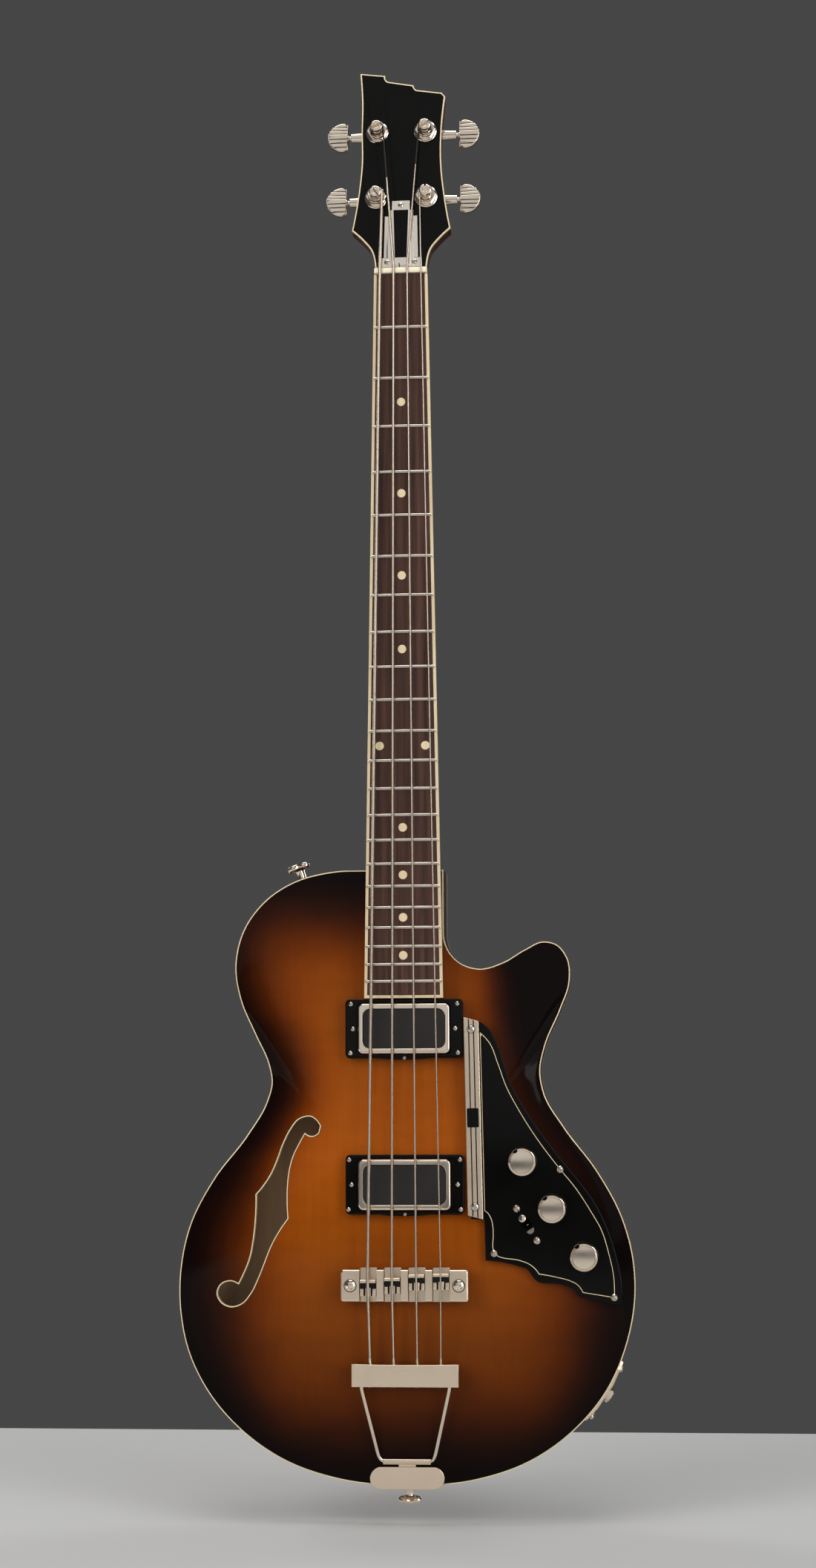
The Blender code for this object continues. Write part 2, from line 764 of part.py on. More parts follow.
def head_runs():
    """A flared outline whose upper end comes down to the treble side in three steps."""
    lower = HEAD_LOWER_HALF
    side = (
        (board_half(0) - 0.0007, HEAD_START),
        (lower * 0.53, HEAD_LENGTH * 0.060),
        (lower * 0.60, HEAD_LENGTH * 0.122),
        (lower * 0.77, HEAD_LENGTH * 0.172),
        (lower, HEAD_LENGTH * 0.222),
    )
    upper = (
        (lower, HEAD_LENGTH * 0.222),
        (lower * 0.880, HEAD_LENGTH * 0.385),
        (HEAD_WAIST_HALF, HEAD_LENGTH * 0.552),
        (HEAD_WAIST_HALF * 1.01, HEAD_LENGTH * 0.700),
    )
    right_top = HEAD_LENGTH - 4 * HEAD_STEP
    step = HEAD_TOP_HALF * 0.34
    drop = HEAD_STEP * 0.55
    steps = (
        ((HEAD_TOP_HALF, right_top - HEAD_STEP * 0.3), (HEAD_TOP_HALF * 0.92, right_top + HEAD_STEP * 0.35)),
        ((HEAD_TOP_HALF * 0.92, right_top + HEAD_STEP * 0.35), (step, right_top + drop + HEAD_STEP * 0.4)),
        (
            (step, right_top + drop + HEAD_STEP * 0.4),
            (step * 0.87, right_top + drop + HEAD_STEP * 0.7),
            (step * 0.80, right_top + drop + HEAD_STEP * 1.2),
        ),
        ((step * 0.80, right_top + drop + HEAD_STEP * 1.2), (-step * 0.93, HEAD_LENGTH - HEAD_STEP * 1.5)),
        (
            (-step * 0.93, HEAD_LENGTH - HEAD_STEP * 1.5),
            (-step * 1.07, HEAD_LENGTH - HEAD_STEP * 1.2),
            (-step * 1.12, HEAD_LENGTH - HEAD_STEP * 0.5),
        ),
        ((-step * 1.12, HEAD_LENGTH - HEAD_STEP * 0.5), (-HEAD_TOP_HALF * 0.955, HEAD_LENGTH)),
    )
    right_edge = (*upper, (HEAD_TOP_HALF, right_top - HEAD_STEP * 0.3))
    left_edge = (*upper, (HEAD_TOP_HALF * 0.91, HEAD_LENGTH * 0.855), (HEAD_TOP_HALF * 0.955, HEAD_LENGTH))

    def mirrored(run):
        return tuple((-x, v) for x, v in run[::-1])

    return (side, right_edge, *steps, mirrored(left_edge), mirrored(side), ((-side[0][0], HEAD_START), side[0]))


head_loop = loop_of(head_runs(), chord=0.03, turn=math.radians(16))


def bushing_holes():
    return [circle_loop(BUSHING_RADIUS + CLEARANCE, place) for place in TUNER_PLACES.values()]


def neck_section(z, half, top_y_at, depth, fullness, points=11):
    """A flat-topped section whose back is a superellipse, fuller towards the heel."""
    ring = []
    for step in range(points):
        angle = math.pi * step / (points - 1)
        across = math.copysign(abs(math.cos(angle)) ** (2 / fullness), math.cos(angle))
        ring.append((half * across, top_y_at + depth * math.sin(angle) ** (2 / fullness), z))
    return ring


TENON_END_Z = SHOULDER_Z - (SHOULDER_Z + BOARD_LENGTH) * TENON_SHARE


def neck():
    seat = BOARD_THICKNESS + CLEARANCE
    heel_end = SHOULDER_Z + CLEARANCE
    heel_start = heel_end + HEEL_LENGTH
    core_front = HEAD_FACE_Y + VENEER_THICKNESS + 0.004
    sections = [
        neck_section(0.034, HEAD_WAIST_HALF * 0.55, core_front + 0.002, 0.0090, 2.0),
        neck_section(0.018, NUT_WIDTH * 0.48, core_front, 0.0110, 2.1),
        neck_section(HEAD_START, NUT_WIDTH * 0.495, seat, NECK_DEPTH_AT_NUT, 2.2),
    ]
    for share in (0.0, 0.3, 0.65, 1.0):
        z = share * heel_start
        depth = NECK_DEPTH_AT_NUT + (NECK_DEPTH_AT_HEEL - NECK_DEPTH_AT_NUT) * share
        sections.append(neck_section(z, board_half(z), seat, depth, 2.2))
    for share in (0.35, 0.62, 0.82, 0.94, 1.0):
        z = heel_start - HEEL_LENGTH * share
        curve = 1 - math.sqrt(1 - share**2)
        depth = NECK_DEPTH_AT_HEEL + (HEEL_DEPTH - NECK_DEPTH_AT_HEEL) * curve
        sections.append(neck_section(z, board_half(z), seat, depth, 2.2 + 1.0 * share))
    shaft = loft("neck", sections, neck_wood)

    core_thickness = HEAD_THICKNESS - VENEER_THICKNESS - CLEARANCE
    core_frame = on_head(0, 0, -HEAD_THICKNESS)
    core = plate("head_core", head_loop, core_thickness, None, core_frame, cutters, holes=bushing_holes())

    tongue_end = -BOARD_LENGTH + 0.002
    tongue_front = seat + 0.0002
    tongue_deep = TOP_EDGE_Y
    rows = [
        (heel_end + 0.003, board_half(heel_end) - 2 * CLEARANCE),
        (tongue_end, board_half(tongue_end) - CLEARANCE),
    ]
    tongue = loft(
        "neck_tongue",
        [
            [(-half, tongue_front, z), (half, tongue_front, z), (half, tongue_deep, z), (-half, tongue_deep, z)]
            for z, half in rows
        ],
        None,
        collection=cutters,
    )
    cut(tongue, top_clearance("tongue_seat"))

    tenon_start = heel_end + 0.004
    tenon_front = seat + 0.001
    tenon_frame = at_front(0, (tenon_front + TENON_BACK_Y) / 2, (tenon_start + TENON_END_Z) / 2)
    tenon_size = (TENON_WIDTH, tenon_start - TENON_END_Z, TENON_BACK_Y - tenon_front)
    tenon = block("neck_tenon", tenon_size, None, tenon_frame, cutters)

    join(shaft, core, tongue, tenon)
    channel_top = 0.040
    channel_end = SHOULDER_Z + HEEL_LENGTH
    channel_frame = at_front(0, seat, (channel_top + channel_end) / 2)
    channel_size = (
        TRUSS_ROD_WIDTH + 2 * CLEARANCE,
        channel_top - channel_end,
        2 * (TRUSS_ROD_DEPTH + CLEARANCE),
    )
    cut(shaft, block("truss_channel", channel_size, None, channel_frame, cutters))
    return shaft


def neck_pocket(name):
    """The slot for the tenon, through the shoulder."""
    low = TENON_END_Z - CLEARANCE
    high = SHOULDER_Z + 0.05
    front = TOP_EDGE_Y - TOP_ARCH * 2
    deep = TENON_BACK_Y + CLEARANCE
    frame = at_front(0, (front + deep) / 2, (low + high) / 2)
    return block(name, (TENON_WIDTH + 2 * CLEARANCE, high - low, deep - front), None, frame, cutters)


neck()
for piece in (top, rim, top_binding, block_core):
    cut(piece, neck_pocket(f"neck_pocket_{piece.name}"))

veneer_frame = on_head(0, 0, -VENEER_THICKNESS)
veneer_loop = inset(head_loop, HEAD_BINDING + CLEARANCE)
slot_centre = (0.0, HEAD_START + 0.004 + VENEER_SLOT[1] / 2)
rod_slot = rounded_box_loop(*VENEER_SLOT, VENEER_SLOT[0] * 0.45, 2, slot_centre)
plate(
    "headstock_veneer",
    veneer_loop,
    VENEER_THICKNESS,
    black_gloss,
    veneer_frame,
    holes=(*bushing_holes(), rod_slot),
)
plate(
    "headstock_binding",
    head_loop,
    VENEER_THICKNESS,
    cream,
    veneer_frame,
    holes=(inset(head_loop, HEAD_BINDING),),
)


# Truss rod with its stepped cover
COVER_THICKNESS = 0.0022
COVER_START = 0.0058
COVER_BASE = (0.01675, 0.0080)
COVER_LEVELS = ((0.0138, 0.0432), (0.0106, 0.0479), (0.0079, 0.0556))
COVER_LEVEL_RISE = 0.0006
COVER_WINDOW = (0.0059, 0.0047, 0.0075, 0.0478)


def truss_rod():
    """A square rod under the fingerboard with a round adjusting nut at its headstock end."""
    seat = BOARD_THICKNESS + CLEARANCE
    end = SHOULDER_Z + HEEL_LENGTH + 0.002
    frame = at_front(0, seat + CLEARANCE + TRUSS_ROD_DEPTH / 2, end / 2 - 0.002)
    made = block("truss_rod", (TRUSS_ROD_WIDTH, -end - 0.004, TRUSS_ROD_DEPTH - 2 * CLEARANCE), steel, frame)
    nut_frame = Matrix.Translation((0, seat + CLEARANCE + TRUSS_ROD_DEPTH / 2, 0.012))
    return join(made, rod("truss_nut", TRUSS_ROD_WIDTH * 0.48, 0.036, None, nut_frame, cutters, sides=12))


def truss_cover():
    """A stepped metal cover over the rod's end, with a window for a plain black inlay."""
    half, height = COVER_BASE
    base = [(-half, 0), (half, 0), (half, height), (-half, height)]
    frame = on_head(0, COVER_START, CLEARANCE)
    made = plate("truss_cover", np.array(base), COVER_THICKNESS, nickel, frame)
    for level, (level_half, level_top) in enumerate(COVER_LEVELS):
        wide = level_half - 0.0008
        loop = [(-level_half, 0.001), (level_half, 0.001), (wide, level_top), (-wide, level_top)]
        thickness = COVER_THICKNESS - 0.0004 + COVER_LEVEL_RISE * level
        join(made, plate(f"cover_level_{level}", np.array(loop), thickness, None, frame, cutters))
    top_half, low_half, low, high = COVER_WINDOW
    window = np.array([(-low_half, low), (low_half, low), (top_half, high), (-top_half, high)])
    opening = plate("cover_window", window, 0.02, None, on_head(0, COVER_START, -0.01), cutters)
    cut(made, opening)
    inlay = plate("truss_cover_inlay", inset(window, CLEARANCE), COVER_THICKNESS, black_gloss, frame)
    return made, inlay


truss_rod()
truss_cover()


# Tuners. Each is built in a frame on the headstock's face with X pointing to its button.
POST_RADIUS = 0.0047
POST_WAIST = 0.0036
POST_HEIGHT = 0.0135
POST_SLOT = (0.0022, 0.012, 0.007)
WASHER_RADIUS = 0.0091
HEX_NUT_WIDTH = 0.0145
GEAR_RADIUS = 0.0043
WORM_RADIUS = 0.0022
WORM_OFFSET = 0.0068
WORM_DEPTH = 0.0065
HOUSING_SIZE = (0.0200, 0.0225, 0.0125)
BUTTON_HEIGHT = 0.0246
BUTTON_REACH = 0.0158
BUTTON_THICKNESS = 0.0085
BUTTON_X = 0.0262
BUTTON_SHAFT = 0.0017
# Turns a frame so that its X, Y and Z run along the old Y, Z and X
MOON_FRAME = Matrix(((0, 0, 1, 0), (1, 0, 0, 0), (0, 1, 0, 0), (0, 0, 0, 1)))


def along_x(frame, x, y, z, side=1):
    """A frame at a place in another, with its Z axis along the other's X axis, or against it."""
    return frame @ Matrix.Translation((x, y, z)) @ Matrix.Rotation(side * math.pi / 2, 4, "Y")


def tuner_housing(name, frame, side):
    """The closed housing on the back, its bushing through the headstock, and the washer and nut."""
    width, height, depth = HOUSING_SIZE
    back = -HEAD_THICKNESS - CLEARANCE
    centre = frame @ Matrix.Translation((0, WORM_OFFSET * 0.35, back - depth / 2))
    made = block(name, (width, height, depth), nickel, centre)
    bevelled(made, 0.0022)
    bushing = turned(
        f"{name}_bushing",
        [
            (0.0, 0.0042),
            (BUSHING_RADIUS - 0.0006, 0.0042),
            (BUSHING_RADIUS - 0.0006, 0.0010),
            (BUSHING_RADIUS, 0.0008),
            (BUSHING_RADIUS, back - 0.001),
            (0.0, back - 0.001),
        ],
        None,
        frame,
        12,
        cutters,
    )
    washer = turned(
        f"{name}_washer",
        [(0, 0.0013), (WASHER_RADIUS - 0.0008, 0.0013), (WASHER_RADIUS, CLEARANCE), (0, CLEARANCE)],
        None,
        frame,
        16,
        cutters,
    )
    hexagon = rod(
        f"{name}_hex_nut",
        HEX_NUT_WIDTH / 2 / math.cos(math.pi / 6),
        0.0032,
        None,
        frame @ Matrix.Translation((0, 0, 0.0026)),
        cutters,
        sides=6,
    )
    sleeve_start = width / 2 - 0.001
    sleeve_end = BUTTON_X - 0.0030
    sleeve = turned(
        f"{name}_sleeve",
        [(0, sleeve_end), (0.0040, sleeve_end), (0.0048, sleeve_start), (0, sleeve_start)],
        None,
        along_x(frame, 0, WORM_OFFSET, back - WORM_DEPTH, side),
        10,
        cutters,
    )
    join(made, bushing, washer, hexagon, sleeve)
    post_bore = turned(
        f"{name}_post_bore",
        [
            (0, 0.010),
            (POST_RADIUS + RUNNING_GAP, 0.010),
            (POST_RADIUS + RUNNING_GAP, back - depth + 0.0015 - CLEARANCE),
            (0, back - depth + 0.0015 - CLEARANCE),
        ],
        None,
        frame,
        12,
        cutters,
    )
    worm_bore = rod(
        f"{name}_worm_bore",
        WORM_RADIUS + RUNNING_GAP,
        BUTTON_X + width / 2 - 0.002,
        None,
        along_x(frame, side * (BUTTON_X - width / 2 + 0.002) / 2, WORM_OFFSET, back - WORM_DEPTH),
        cutters,
        sides=10,
    )
    return cut(made, post_bore, worm_bore)


def tuner_post(name, frame):
    """The string post with its slotted head, and the wheel that the worm turns."""
    back = -HEAD_THICKNESS - CLEARANCE
    wheel_top = back - WORM_DEPTH + 0.0025
    wheel_bottom = back - HOUSING_SIZE[2] + 0.0015
    neck_radius = GEAR_RADIUS * 0.8
    made = turned(
        name,
        [
            (0.0, POST_HEIGHT),
            (POST_RADIUS - 0.0006, POST_HEIGHT),
            (POST_RADIUS, POST_HEIGHT - 0.0008),
            (POST_RADIUS, POST_HEIGHT - 0.0022),
            (POST_WAIST, POST_HEIGHT - 0.0042),
            (POST_WAIST, POST_HEIGHT - 0.0072),
            (POST_RADIUS, 0.0052),
            (POST_RADIUS, back + 0.001),
            (neck_radius, back),
            (neck_radius, wheel_top),
            (GEAR_RADIUS, wheel_top),
            (GEAR_RADIUS, wheel_bottom),
            (0.0, wheel_bottom),
        ],
        steel,
        frame,
        12,
    )
    slot_frame = frame @ Matrix.Translation((0, 0, POST_HEIGHT))
    slot = block(f"{name}_slot", POST_SLOT, None, slot_frame, cutters)
    return cut(made, slot)


def moon_loop(limit):
    """The button's half-moon as (height, reach), cut off above and below at a share of its height."""
    half = BUTTON_HEIGHT / 2
    widest = math.asin(min(limit, 0.999))
    loop = [(-half * limit * 0.9, BUTTON_X), (half * limit * 0.9, BUTTON_X)]
    for step in range(9):
        angle = widest * (1 - step / 4)
        loop.append((half * math.sin(angle), BUTTON_X + BUTTON_REACH * (0.22 + 0.78 * math.cos(angle))))
    return np.array(loop)


def tuner_button(name, frame, side):
    """A half-moon button, stepped like stairs, on the shaft of its worm."""
    axis = along_x(frame, 0, WORM_OFFSET, -HEAD_THICKNESS - CLEARANCE - WORM_DEPTH, side)
    worm_end = HOUSING_SIZE[0] / 2 - 0.0025
    made = turned(
        name,
        [
            (0.0, BUTTON_X + 0.006),
            (BUTTON_SHAFT, BUTTON_X + 0.006),
            (BUTTON_SHAFT, worm_end),
            (WORM_RADIUS, worm_end),
            (WORM_RADIUS, -worm_end),
            (0.0, -worm_end),
        ],
        nickel,
        axis,
        12,
    )
    for limit, share in ((1.0, 0.58), (0.68, 0.80), (0.30, 1.0)):
        thickness = BUTTON_THICKNESS * share
        face = axis @ MOON_FRAME @ Matrix.Translation((0, 0, -thickness / 2))
        join(made, plate(f"{name}_step_{limit}", moon_loop(limit), thickness, None, face, cutters))
    return made


def tuners():
    """The four tuners. Each post and each button has its origin on its own axis."""
    for string, (x, v) in TUNER_PLACES.items():
        side = 1 if x > 0 else -1
        frame = on_head(x, v)
        tuner_housing(f"tuner_housing_{string}", frame, side)
        tuner_post(f"tuner_post_{string}", frame)
        tuner_button(f"tuner_button_{string}", frame, side)


tuners()


# Sound hole on the bass side, as runs of real (x, z) places
F_HOLE_BINDING = 0.0013
F_HOLE_RUNS = (
    (
        (-0.0645, -0.6668),
        (-0.0731, -0.6590),
        (-0.0822, -0.6612),
        (-0.0890, -0.6693),
        (-0.0946, -0.6803),
        (-0.0991, -0.6926),
        (-0.1036, -0.7027),
        (-0.1093, -0.7115),
        (-0.1153, -0.7185),
    ),
    (
        (-0.1153, -0.7185),
        (-0.1159, -0.7402),
        (-0.1172, -0.7520),
        (-0.1205, -0.7679),
        (-0.1250, -0.7787),
        (-0.1284, -0.7855),
    ),
    (
        (-0.1284, -0.7855),
        (-0.1344, -0.7834),
        (-0.1426, -0.7864),
        (-0.1455, -0.7932),
        (-0.1426, -0.7999),
        (-0.1344, -0.8038),
        (-0.1250, -0.8010),
        (-0.1182, -0.7932),
        (-0.1125, -0.7820),
        (-0.1080, -0.7709),
        (-0.1023, -0.7570),
        (-0.0966, -0.7469),
        (-0.0895, -0.7369),
    ),
    (
        (-0.0895, -0.7369),
        (-0.0903, -0.7223),
        (-0.0900, -0.7115),
        (-0.0889, -0.7016),
        (-0.0856, -0.6893),
        (-0.0811, -0.6803),
        (-0.0771, -0.6732),
    ),
    ((-0.0771, -0.6732), (-0.0716, -0.6752), (-0.0660, -0.6724)),
    ((-0.0660, -0.6724), (-0.0645, -0.6668)),
)
f_hole_loop = loop_of(F_HOLE_RUNS, chord=0.020, turn=math.radians(26))


def prism(name, loop, front, rear):
    """A cutter through a (x, z) loop, from one height to another."""
    return loft(name, [place(loop, front), place(loop, rear)], None, collection=cutters)


def sound_hole():
    """The opening and the plastic lip around it, which follows the arch."""
    cut(top, prism("f_hole_opening", inset(f_hole_loop, -CLEARANCE), 0.0, BACK_EDGE_Y - 0.02))
    inner = inset(f_hole_loop, F_HOLE_BINDING)
    heights = np.array([top_y(x, z) for x, z in f_hole_loop])
    inner_heights = np.array([top_y(x, z) for x, z in inner])
    rings = [
        place(f_hole_loop, heights),
        place(inner, inner_heights),
        place(inner, inner_heights + TOP_THICKNESS),
        place(f_hole_loop, heights + TOP_THICKNESS),
    ]
    return loft("f_hole_binding", rings, cream, closed=True)


sound_hole()


# Bridge: a bar on two studs, with a pocket and a sliding saddle for each string
BRIDGE_SETBACK = 0.0113
BRIDGE_Z = -SCALE_LENGTH - BRIDGE_SETBACK
BRIDGE_SIZE = (0.0968, 0.0242, 0.0085)
BRIDGE_FACE_Y = -0.0018
BRIDGE_CHAMFER = 0.0025
POCKET_SIZE = (0.0132, 0.0240, 0.0060)
POCKET_WALL = 0.0014
SADDLE_LENGTH = 0.0125
SADDLE_CREST_LENGTH = 0.0040
STUD_X = 0.0410
STUD_RADIUS = 0.0058
STUD_HEAD_RADIUS = 0.0043
STUD_EDGES = (-0.006, 0.006)
STUD_DEPTH = 0.0300


def bridge():
    """The bar, cut by its pockets, on the two studs that go down into the block."""
    height, depth = BRIDGE_SIZE[1:]
    frame = at_front(0, BRIDGE_FACE_Y + depth / 2, BRIDGE_Z)
    made = block("bridge_base", BRIDGE_SIZE, nickel, frame)
    bevelled(made, BRIDGE_CHAMFER)
    for index, string in enumerate(STRING_NAMES):
        place_frame = at_front(string_x(index, BRIDGE_Z), BRIDGE_FACE_Y, BRIDGE_Z)
        size = (POCKET_SIZE[0], height - 2 * POCKET_WALL, 2 * POCKET_SIZE[2])
        cut(made, block(f"bridge_pocket_{string}", size, None, place_frame, cutters))
    for side in (-1, 1):
        around = [(side * STUD_X + dx, BRIDGE_Z + dz) for dx in STUD_EDGES for dz in STUD_EDGES]
        foot = highest_top(around)
        stud = turned(
            f"bridge_stud_{side}",
            [
                (0.0, BRIDGE_FACE_Y * -1 + 0.0006),
                (STUD_HEAD_RADIUS, BRIDGE_FACE_Y * -1 + 0.0006),
                (STUD_HEAD_RADIUS, -BRIDGE_FACE_Y - depth + 0.001),
                (STUD_RADIUS, -BRIDGE_FACE_Y - depth + 0.0005),
                (STUD_RADIUS, SEAT_GAP - foot),
                (STUD_HEAD_RADIUS, SEAT_GAP - foot - 0.0002),
                (STUD_HEAD_RADIUS, -foot - STUD_DEPTH * 0.6),
                (0.0, -foot - STUD_DEPTH * 0.6),
            ],
            None,
            at_front(side * STUD_X, 0, BRIDGE_Z),
            12,
            cutters,
        )
        join(made, stud)
        for target in (top, block_core):
            hole = rod(
                f"stud_hole_{side}_{target.name}",
                STUD_HEAD_RADIUS + SEAT_GAP,
                STUD_DEPTH * 2,
                None,
                at_front(side * STUD_X, foot, BRIDGE_Z),
                cutters,
                sides=12,
            )
            cut(target, hole)
    return made


def saddle(index, string):
    """A block with a raised crest for its string. It slides along the neck's direction."""
    crest_z = saddle_z(index)
    radius = STRING_DIAMETERS[index] / 2
    x = string_x(index, BRIDGE_Z)
    crest_y = string_y(index, crest_z) + radius + CLEARANCE
    floor_y = BRIDGE_FACE_Y + POCKET_SIZE[2] - CLEARANCE
    shelf_y = BRIDGE_FACE_Y - 0.0002
    half = POCKET_SIZE[0] / 2 - SLIDING_GAP
    front_z = crest_z + 0.0010
    rear_z = front_z - SADDLE_LENGTH
    lip = SADDLE_CREST_LENGTH
    profile = (
        (front_z, floor_y),
        (front_z, crest_y + 0.0012),
        (crest_z, crest_y),
        (crest_z - 0.0012, crest_y + 0.0003),
        (front_z - lip, shelf_y + 0.0008),
        (rear_z, shelf_y + 0.0016),
        (rear_z, floor_y),
    )
    origin = Matrix.Translation((x, crest_y, crest_z))
    rings = [[(side * half, y - crest_y, z - crest_z) for z, y in profile] for side in (-1, 1)]
    return loft(f"saddle_{string}", rings, nickel, frame=origin)


bridge()
for index, string in enumerate(STRING_NAMES):
    saddle(index, string)


# Tailpiece: a bar pulled by a bent wire, which hinges in a bracket over the end of the body
TAIL_SHARE = 0.4437
TAIL_Z = BRIDGE_Z + (BODY_END_Z - BRIDGE_Z) * TAIL_SHARE
TAIL_SIZE = (0.0806, 0.0170, 0.0086)
TAIL_Y = 0.0045
TAIL_SPREAD = 0.0534
TRAPEZE_RADIUS = 0.0014
TRAPEZE_TOP_X = 0.0333
TRAPEZE_LOW_X = 0.0213
TRAPEZE_BEND_Z = BODY_END_Z + 0.0225
BARREL_RADIUS = 0.0024
BARREL_LENGTH = 0.0350
BARREL_Z = BODY_END_Z + 0.0187
BARREL_GAP = 0.0018
WEB_HEIGHT = 0.0050
BRACKET_WIDTH = 0.0564
BRACKET_THICKNESS = 0.0020
BRACKET_TAIL = (0.0300, 0.0380)
BALL_RADIUS = 0.0026
under_barrel = min(top_y(x, BARREL_Z) for x in (-BARREL_LENGTH / 2, 0, BARREL_LENGTH / 2))
barrel_y = under_barrel - BARREL_RADIUS - SEAT_GAP


def tail_string_x(index):
    return TAIL_SPREAD * (index / 3 - 0.5)


def tailpiece():
    made = block("tailpiece_bar", TAIL_SIZE, nickel, at_front(0, TAIL_Y, TAIL_Z))
    bevelled(made, 0.0026, 2)
    for index, string in enumerate(STRING_NAMES):
        radius = STRING_DIAMETERS[index] / 2 + SEAT_GAP
        frame = Matrix.Translation((tail_string_x(index), TAIL_Y, TAIL_Z))
        cut(made, rod(f"string_hole_{string}", radius, 0.03, None, frame, cutters, sides=8))
    socket_depth = 0.0070
    bottom = TAIL_Z - TAIL_SIZE[1] / 2
    for side in (-1, 1):
        frame = Matrix.Translation((side * TRAPEZE_TOP_X, TAIL_Y, bottom))
        radius = TRAPEZE_RADIUS + CLEARANCE
        hole = rod(f"trapeze_hole_{side}", radius, 2 * socket_depth, None, frame, cutters, sides=10)
        cut(made, hole)
    return made


def trapeze():
    """One bent wire: down from the bar, in and across through the bracket's barrel, and back up."""
    bottom = TAIL_Z - TAIL_SIZE[1] / 2
    half_barrel = BARREL_LENGTH / 2
    low_y = TAIL_Y + (barrel_y - TAIL_Y) * 0.93
    side = [
        (TRAPEZE_TOP_X, TAIL_Y, bottom + 0.0060),
        (TRAPEZE_TOP_X, TAIL_Y, bottom - 0.0010),
        (TRAPEZE_LOW_X, low_y, TRAPEZE_BEND_Z),
        (TRAPEZE_LOW_X - 0.0012, barrel_y, BARREL_Z + 0.0012),
        (half_barrel + 0.0012, barrel_y, BARREL_Z),
    ]
    points = side + [(-x, y, z) for x, y, z in side[::-1]]
    return wire("trapeze", points, TRAPEZE_RADIUS, nickel)


def bracket():
    """A plate over the end of the body with a barrel for the wire, bent down over the rim."""
    plate_y = min(top_y(x, BARREL_Z - 0.004) for x in (-BRACKET_WIDTH / 2, 0, BRACKET_WIDTH / 2)) - SEAT_GAP
    outer_z = BODY_END_Z - SEAT_GAP
    plate_top = BARREL_Z - BARREL_RADIUS - BARREL_GAP
    height = plate_top - outer_z + BRACKET_THICKNESS
    centre_z = (plate_top + outer_z - BRACKET_THICKNESS) / 2
    loop = rounded_box_loop(BRACKET_WIDTH, height, height * 0.49, 5)
    made = plate("tail_bracket", loop, BRACKET_THICKNESS, nickel, at_front(0, plate_y, centre_z))
    width, reach = BRACKET_TAIL
    tail_y = plate_y - BRACKET_THICKNESS / 2 + reach / 2
    tail_frame = Matrix.Translation((0, tail_y, outer_z - BRACKET_THICKNESS / 2))
    tail = block("bracket_tail", (width, reach, BRACKET_THICKNESS), None, tail_frame, cutters)
    barrel_frame = Matrix.Translation((0, barrel_y, BARREL_Z)) @ Matrix.Rotation(math.pi / 2, 4, "Y")
    barrel = rod("bracket_barrel", BARREL_RADIUS, BARREL_LENGTH, None, barrel_frame, cutters, sides=12)
    web_size = (BARREL_LENGTH * 0.8, BRACKET_THICKNESS * 0.8, WEB_HEIGHT)
    web_frame = Matrix.Translation((0, plate_y - BRACKET_THICKNESS * 0.55, BARREL_Z - WEB_HEIGHT * 0.61))
    web = block("bracket_web", web_size, None, web_frame, cutters)
    bore_radius = TRAPEZE_RADIUS + CLEARANCE
    bore = rod("barrel_bore", bore_radius, BARREL_LENGTH * 2, None, barrel_frame, cutters, sides=12)
    return cut(join(made, tail, barrel, web), bore)


tailpiece()
trapeze()
tail_bracket = bracket()


# Strings from their ball ends to the posts
def string_wire(index, string):
    """Through the tailpiece, over the saddle and the nut, and round the post."""
    diameter = STRING_DIAMETERS[index]
    radius = diameter / 2
    bottom = TAIL_Z - TAIL_SIZE[1] / 2
    crest = saddle_z(index)
    x_tail = tail_string_x(index)
    above = TAIL_Z + TAIL_SIZE[1] / 2 + 0.001
    points = [(x_tail, TAIL_Y, bottom - BALL_RADIUS - 0.0006), (x_tail, TAIL_Y, above)]
    points.append((string_x(index, crest), string_y(index, crest), crest))
    points.append((string_x(index, 0), string_y(index, 0), CLEARANCE))
    past_nut = NUT_LENGTH
    points.append((string_x(index, 0), string_y(index, 0) + 0.0002, past_nut))
    post_x, post_v = TUNER_PLACES[string]
    frame = on_head(post_x, post_v)
    side = 1 if post_x > 0 else -1
    wrap_radius = POST_WAIST + radius + SEAT_GAP
    height = POST_HEIGHT - 0.0057
    turns = 16
    for step in range(turns + 1):
        angle = (0.0 if side < 0 else math.pi) + side * -1 * 2 * math.pi * step / 10
        rise_now = height + (0.5 - step / turns) * 0.0012
        points.append(frame @ Vector((wrap_radius * math.cos(angle), wrap_radius * math.sin(angle), rise_now)))
    made = wire(f"string_{string}", points, radius, wound_steel, resolution=1)
    ball_frame = Matrix.Translation((x_tail, TAIL_Y, bottom - BALL_RADIUS - SEAT_GAP))
    across = ball_frame @ Matrix.Rotation(math.pi / 2, 4, "Y")
    ball = rod(f"ball_{string}", BALL_RADIUS, BALL_RADIUS * 1.5, None, across, cutters, 8)
    return join(made, ball)


for index, string in enumerate(STRING_NAMES):
    string_wire(index, string)


# Pickups: a surround on the arch, and a metal cover over a plastic core that move together in it
PICKUP_ZS = {"neck": -BOARD_LENGTH - 0.0232, "bridge": BRIDGE_Z + 0.0750}
SURROUND_SIZE = (0.0900, 0.0450)
SURROUND_FRONT_Y = 0.0042
SURROUND_TAB = (0.0400, 0.0018)
COVER_SIZE = (0.0703, 0.0381)
COVER_FRONT_Y = 0.0008
COVER_DEPTH = 0.0165
COVER_WALL = 0.0010
COVER_CORNER = 0.0040
WINDOW_SIZE = (0.0628, 0.0303)
CORE_REAR_Y = 0.0200
ROUT_SIZE = (0.0730, 0.0410)
ROUT_REAR_Y = 0.0280


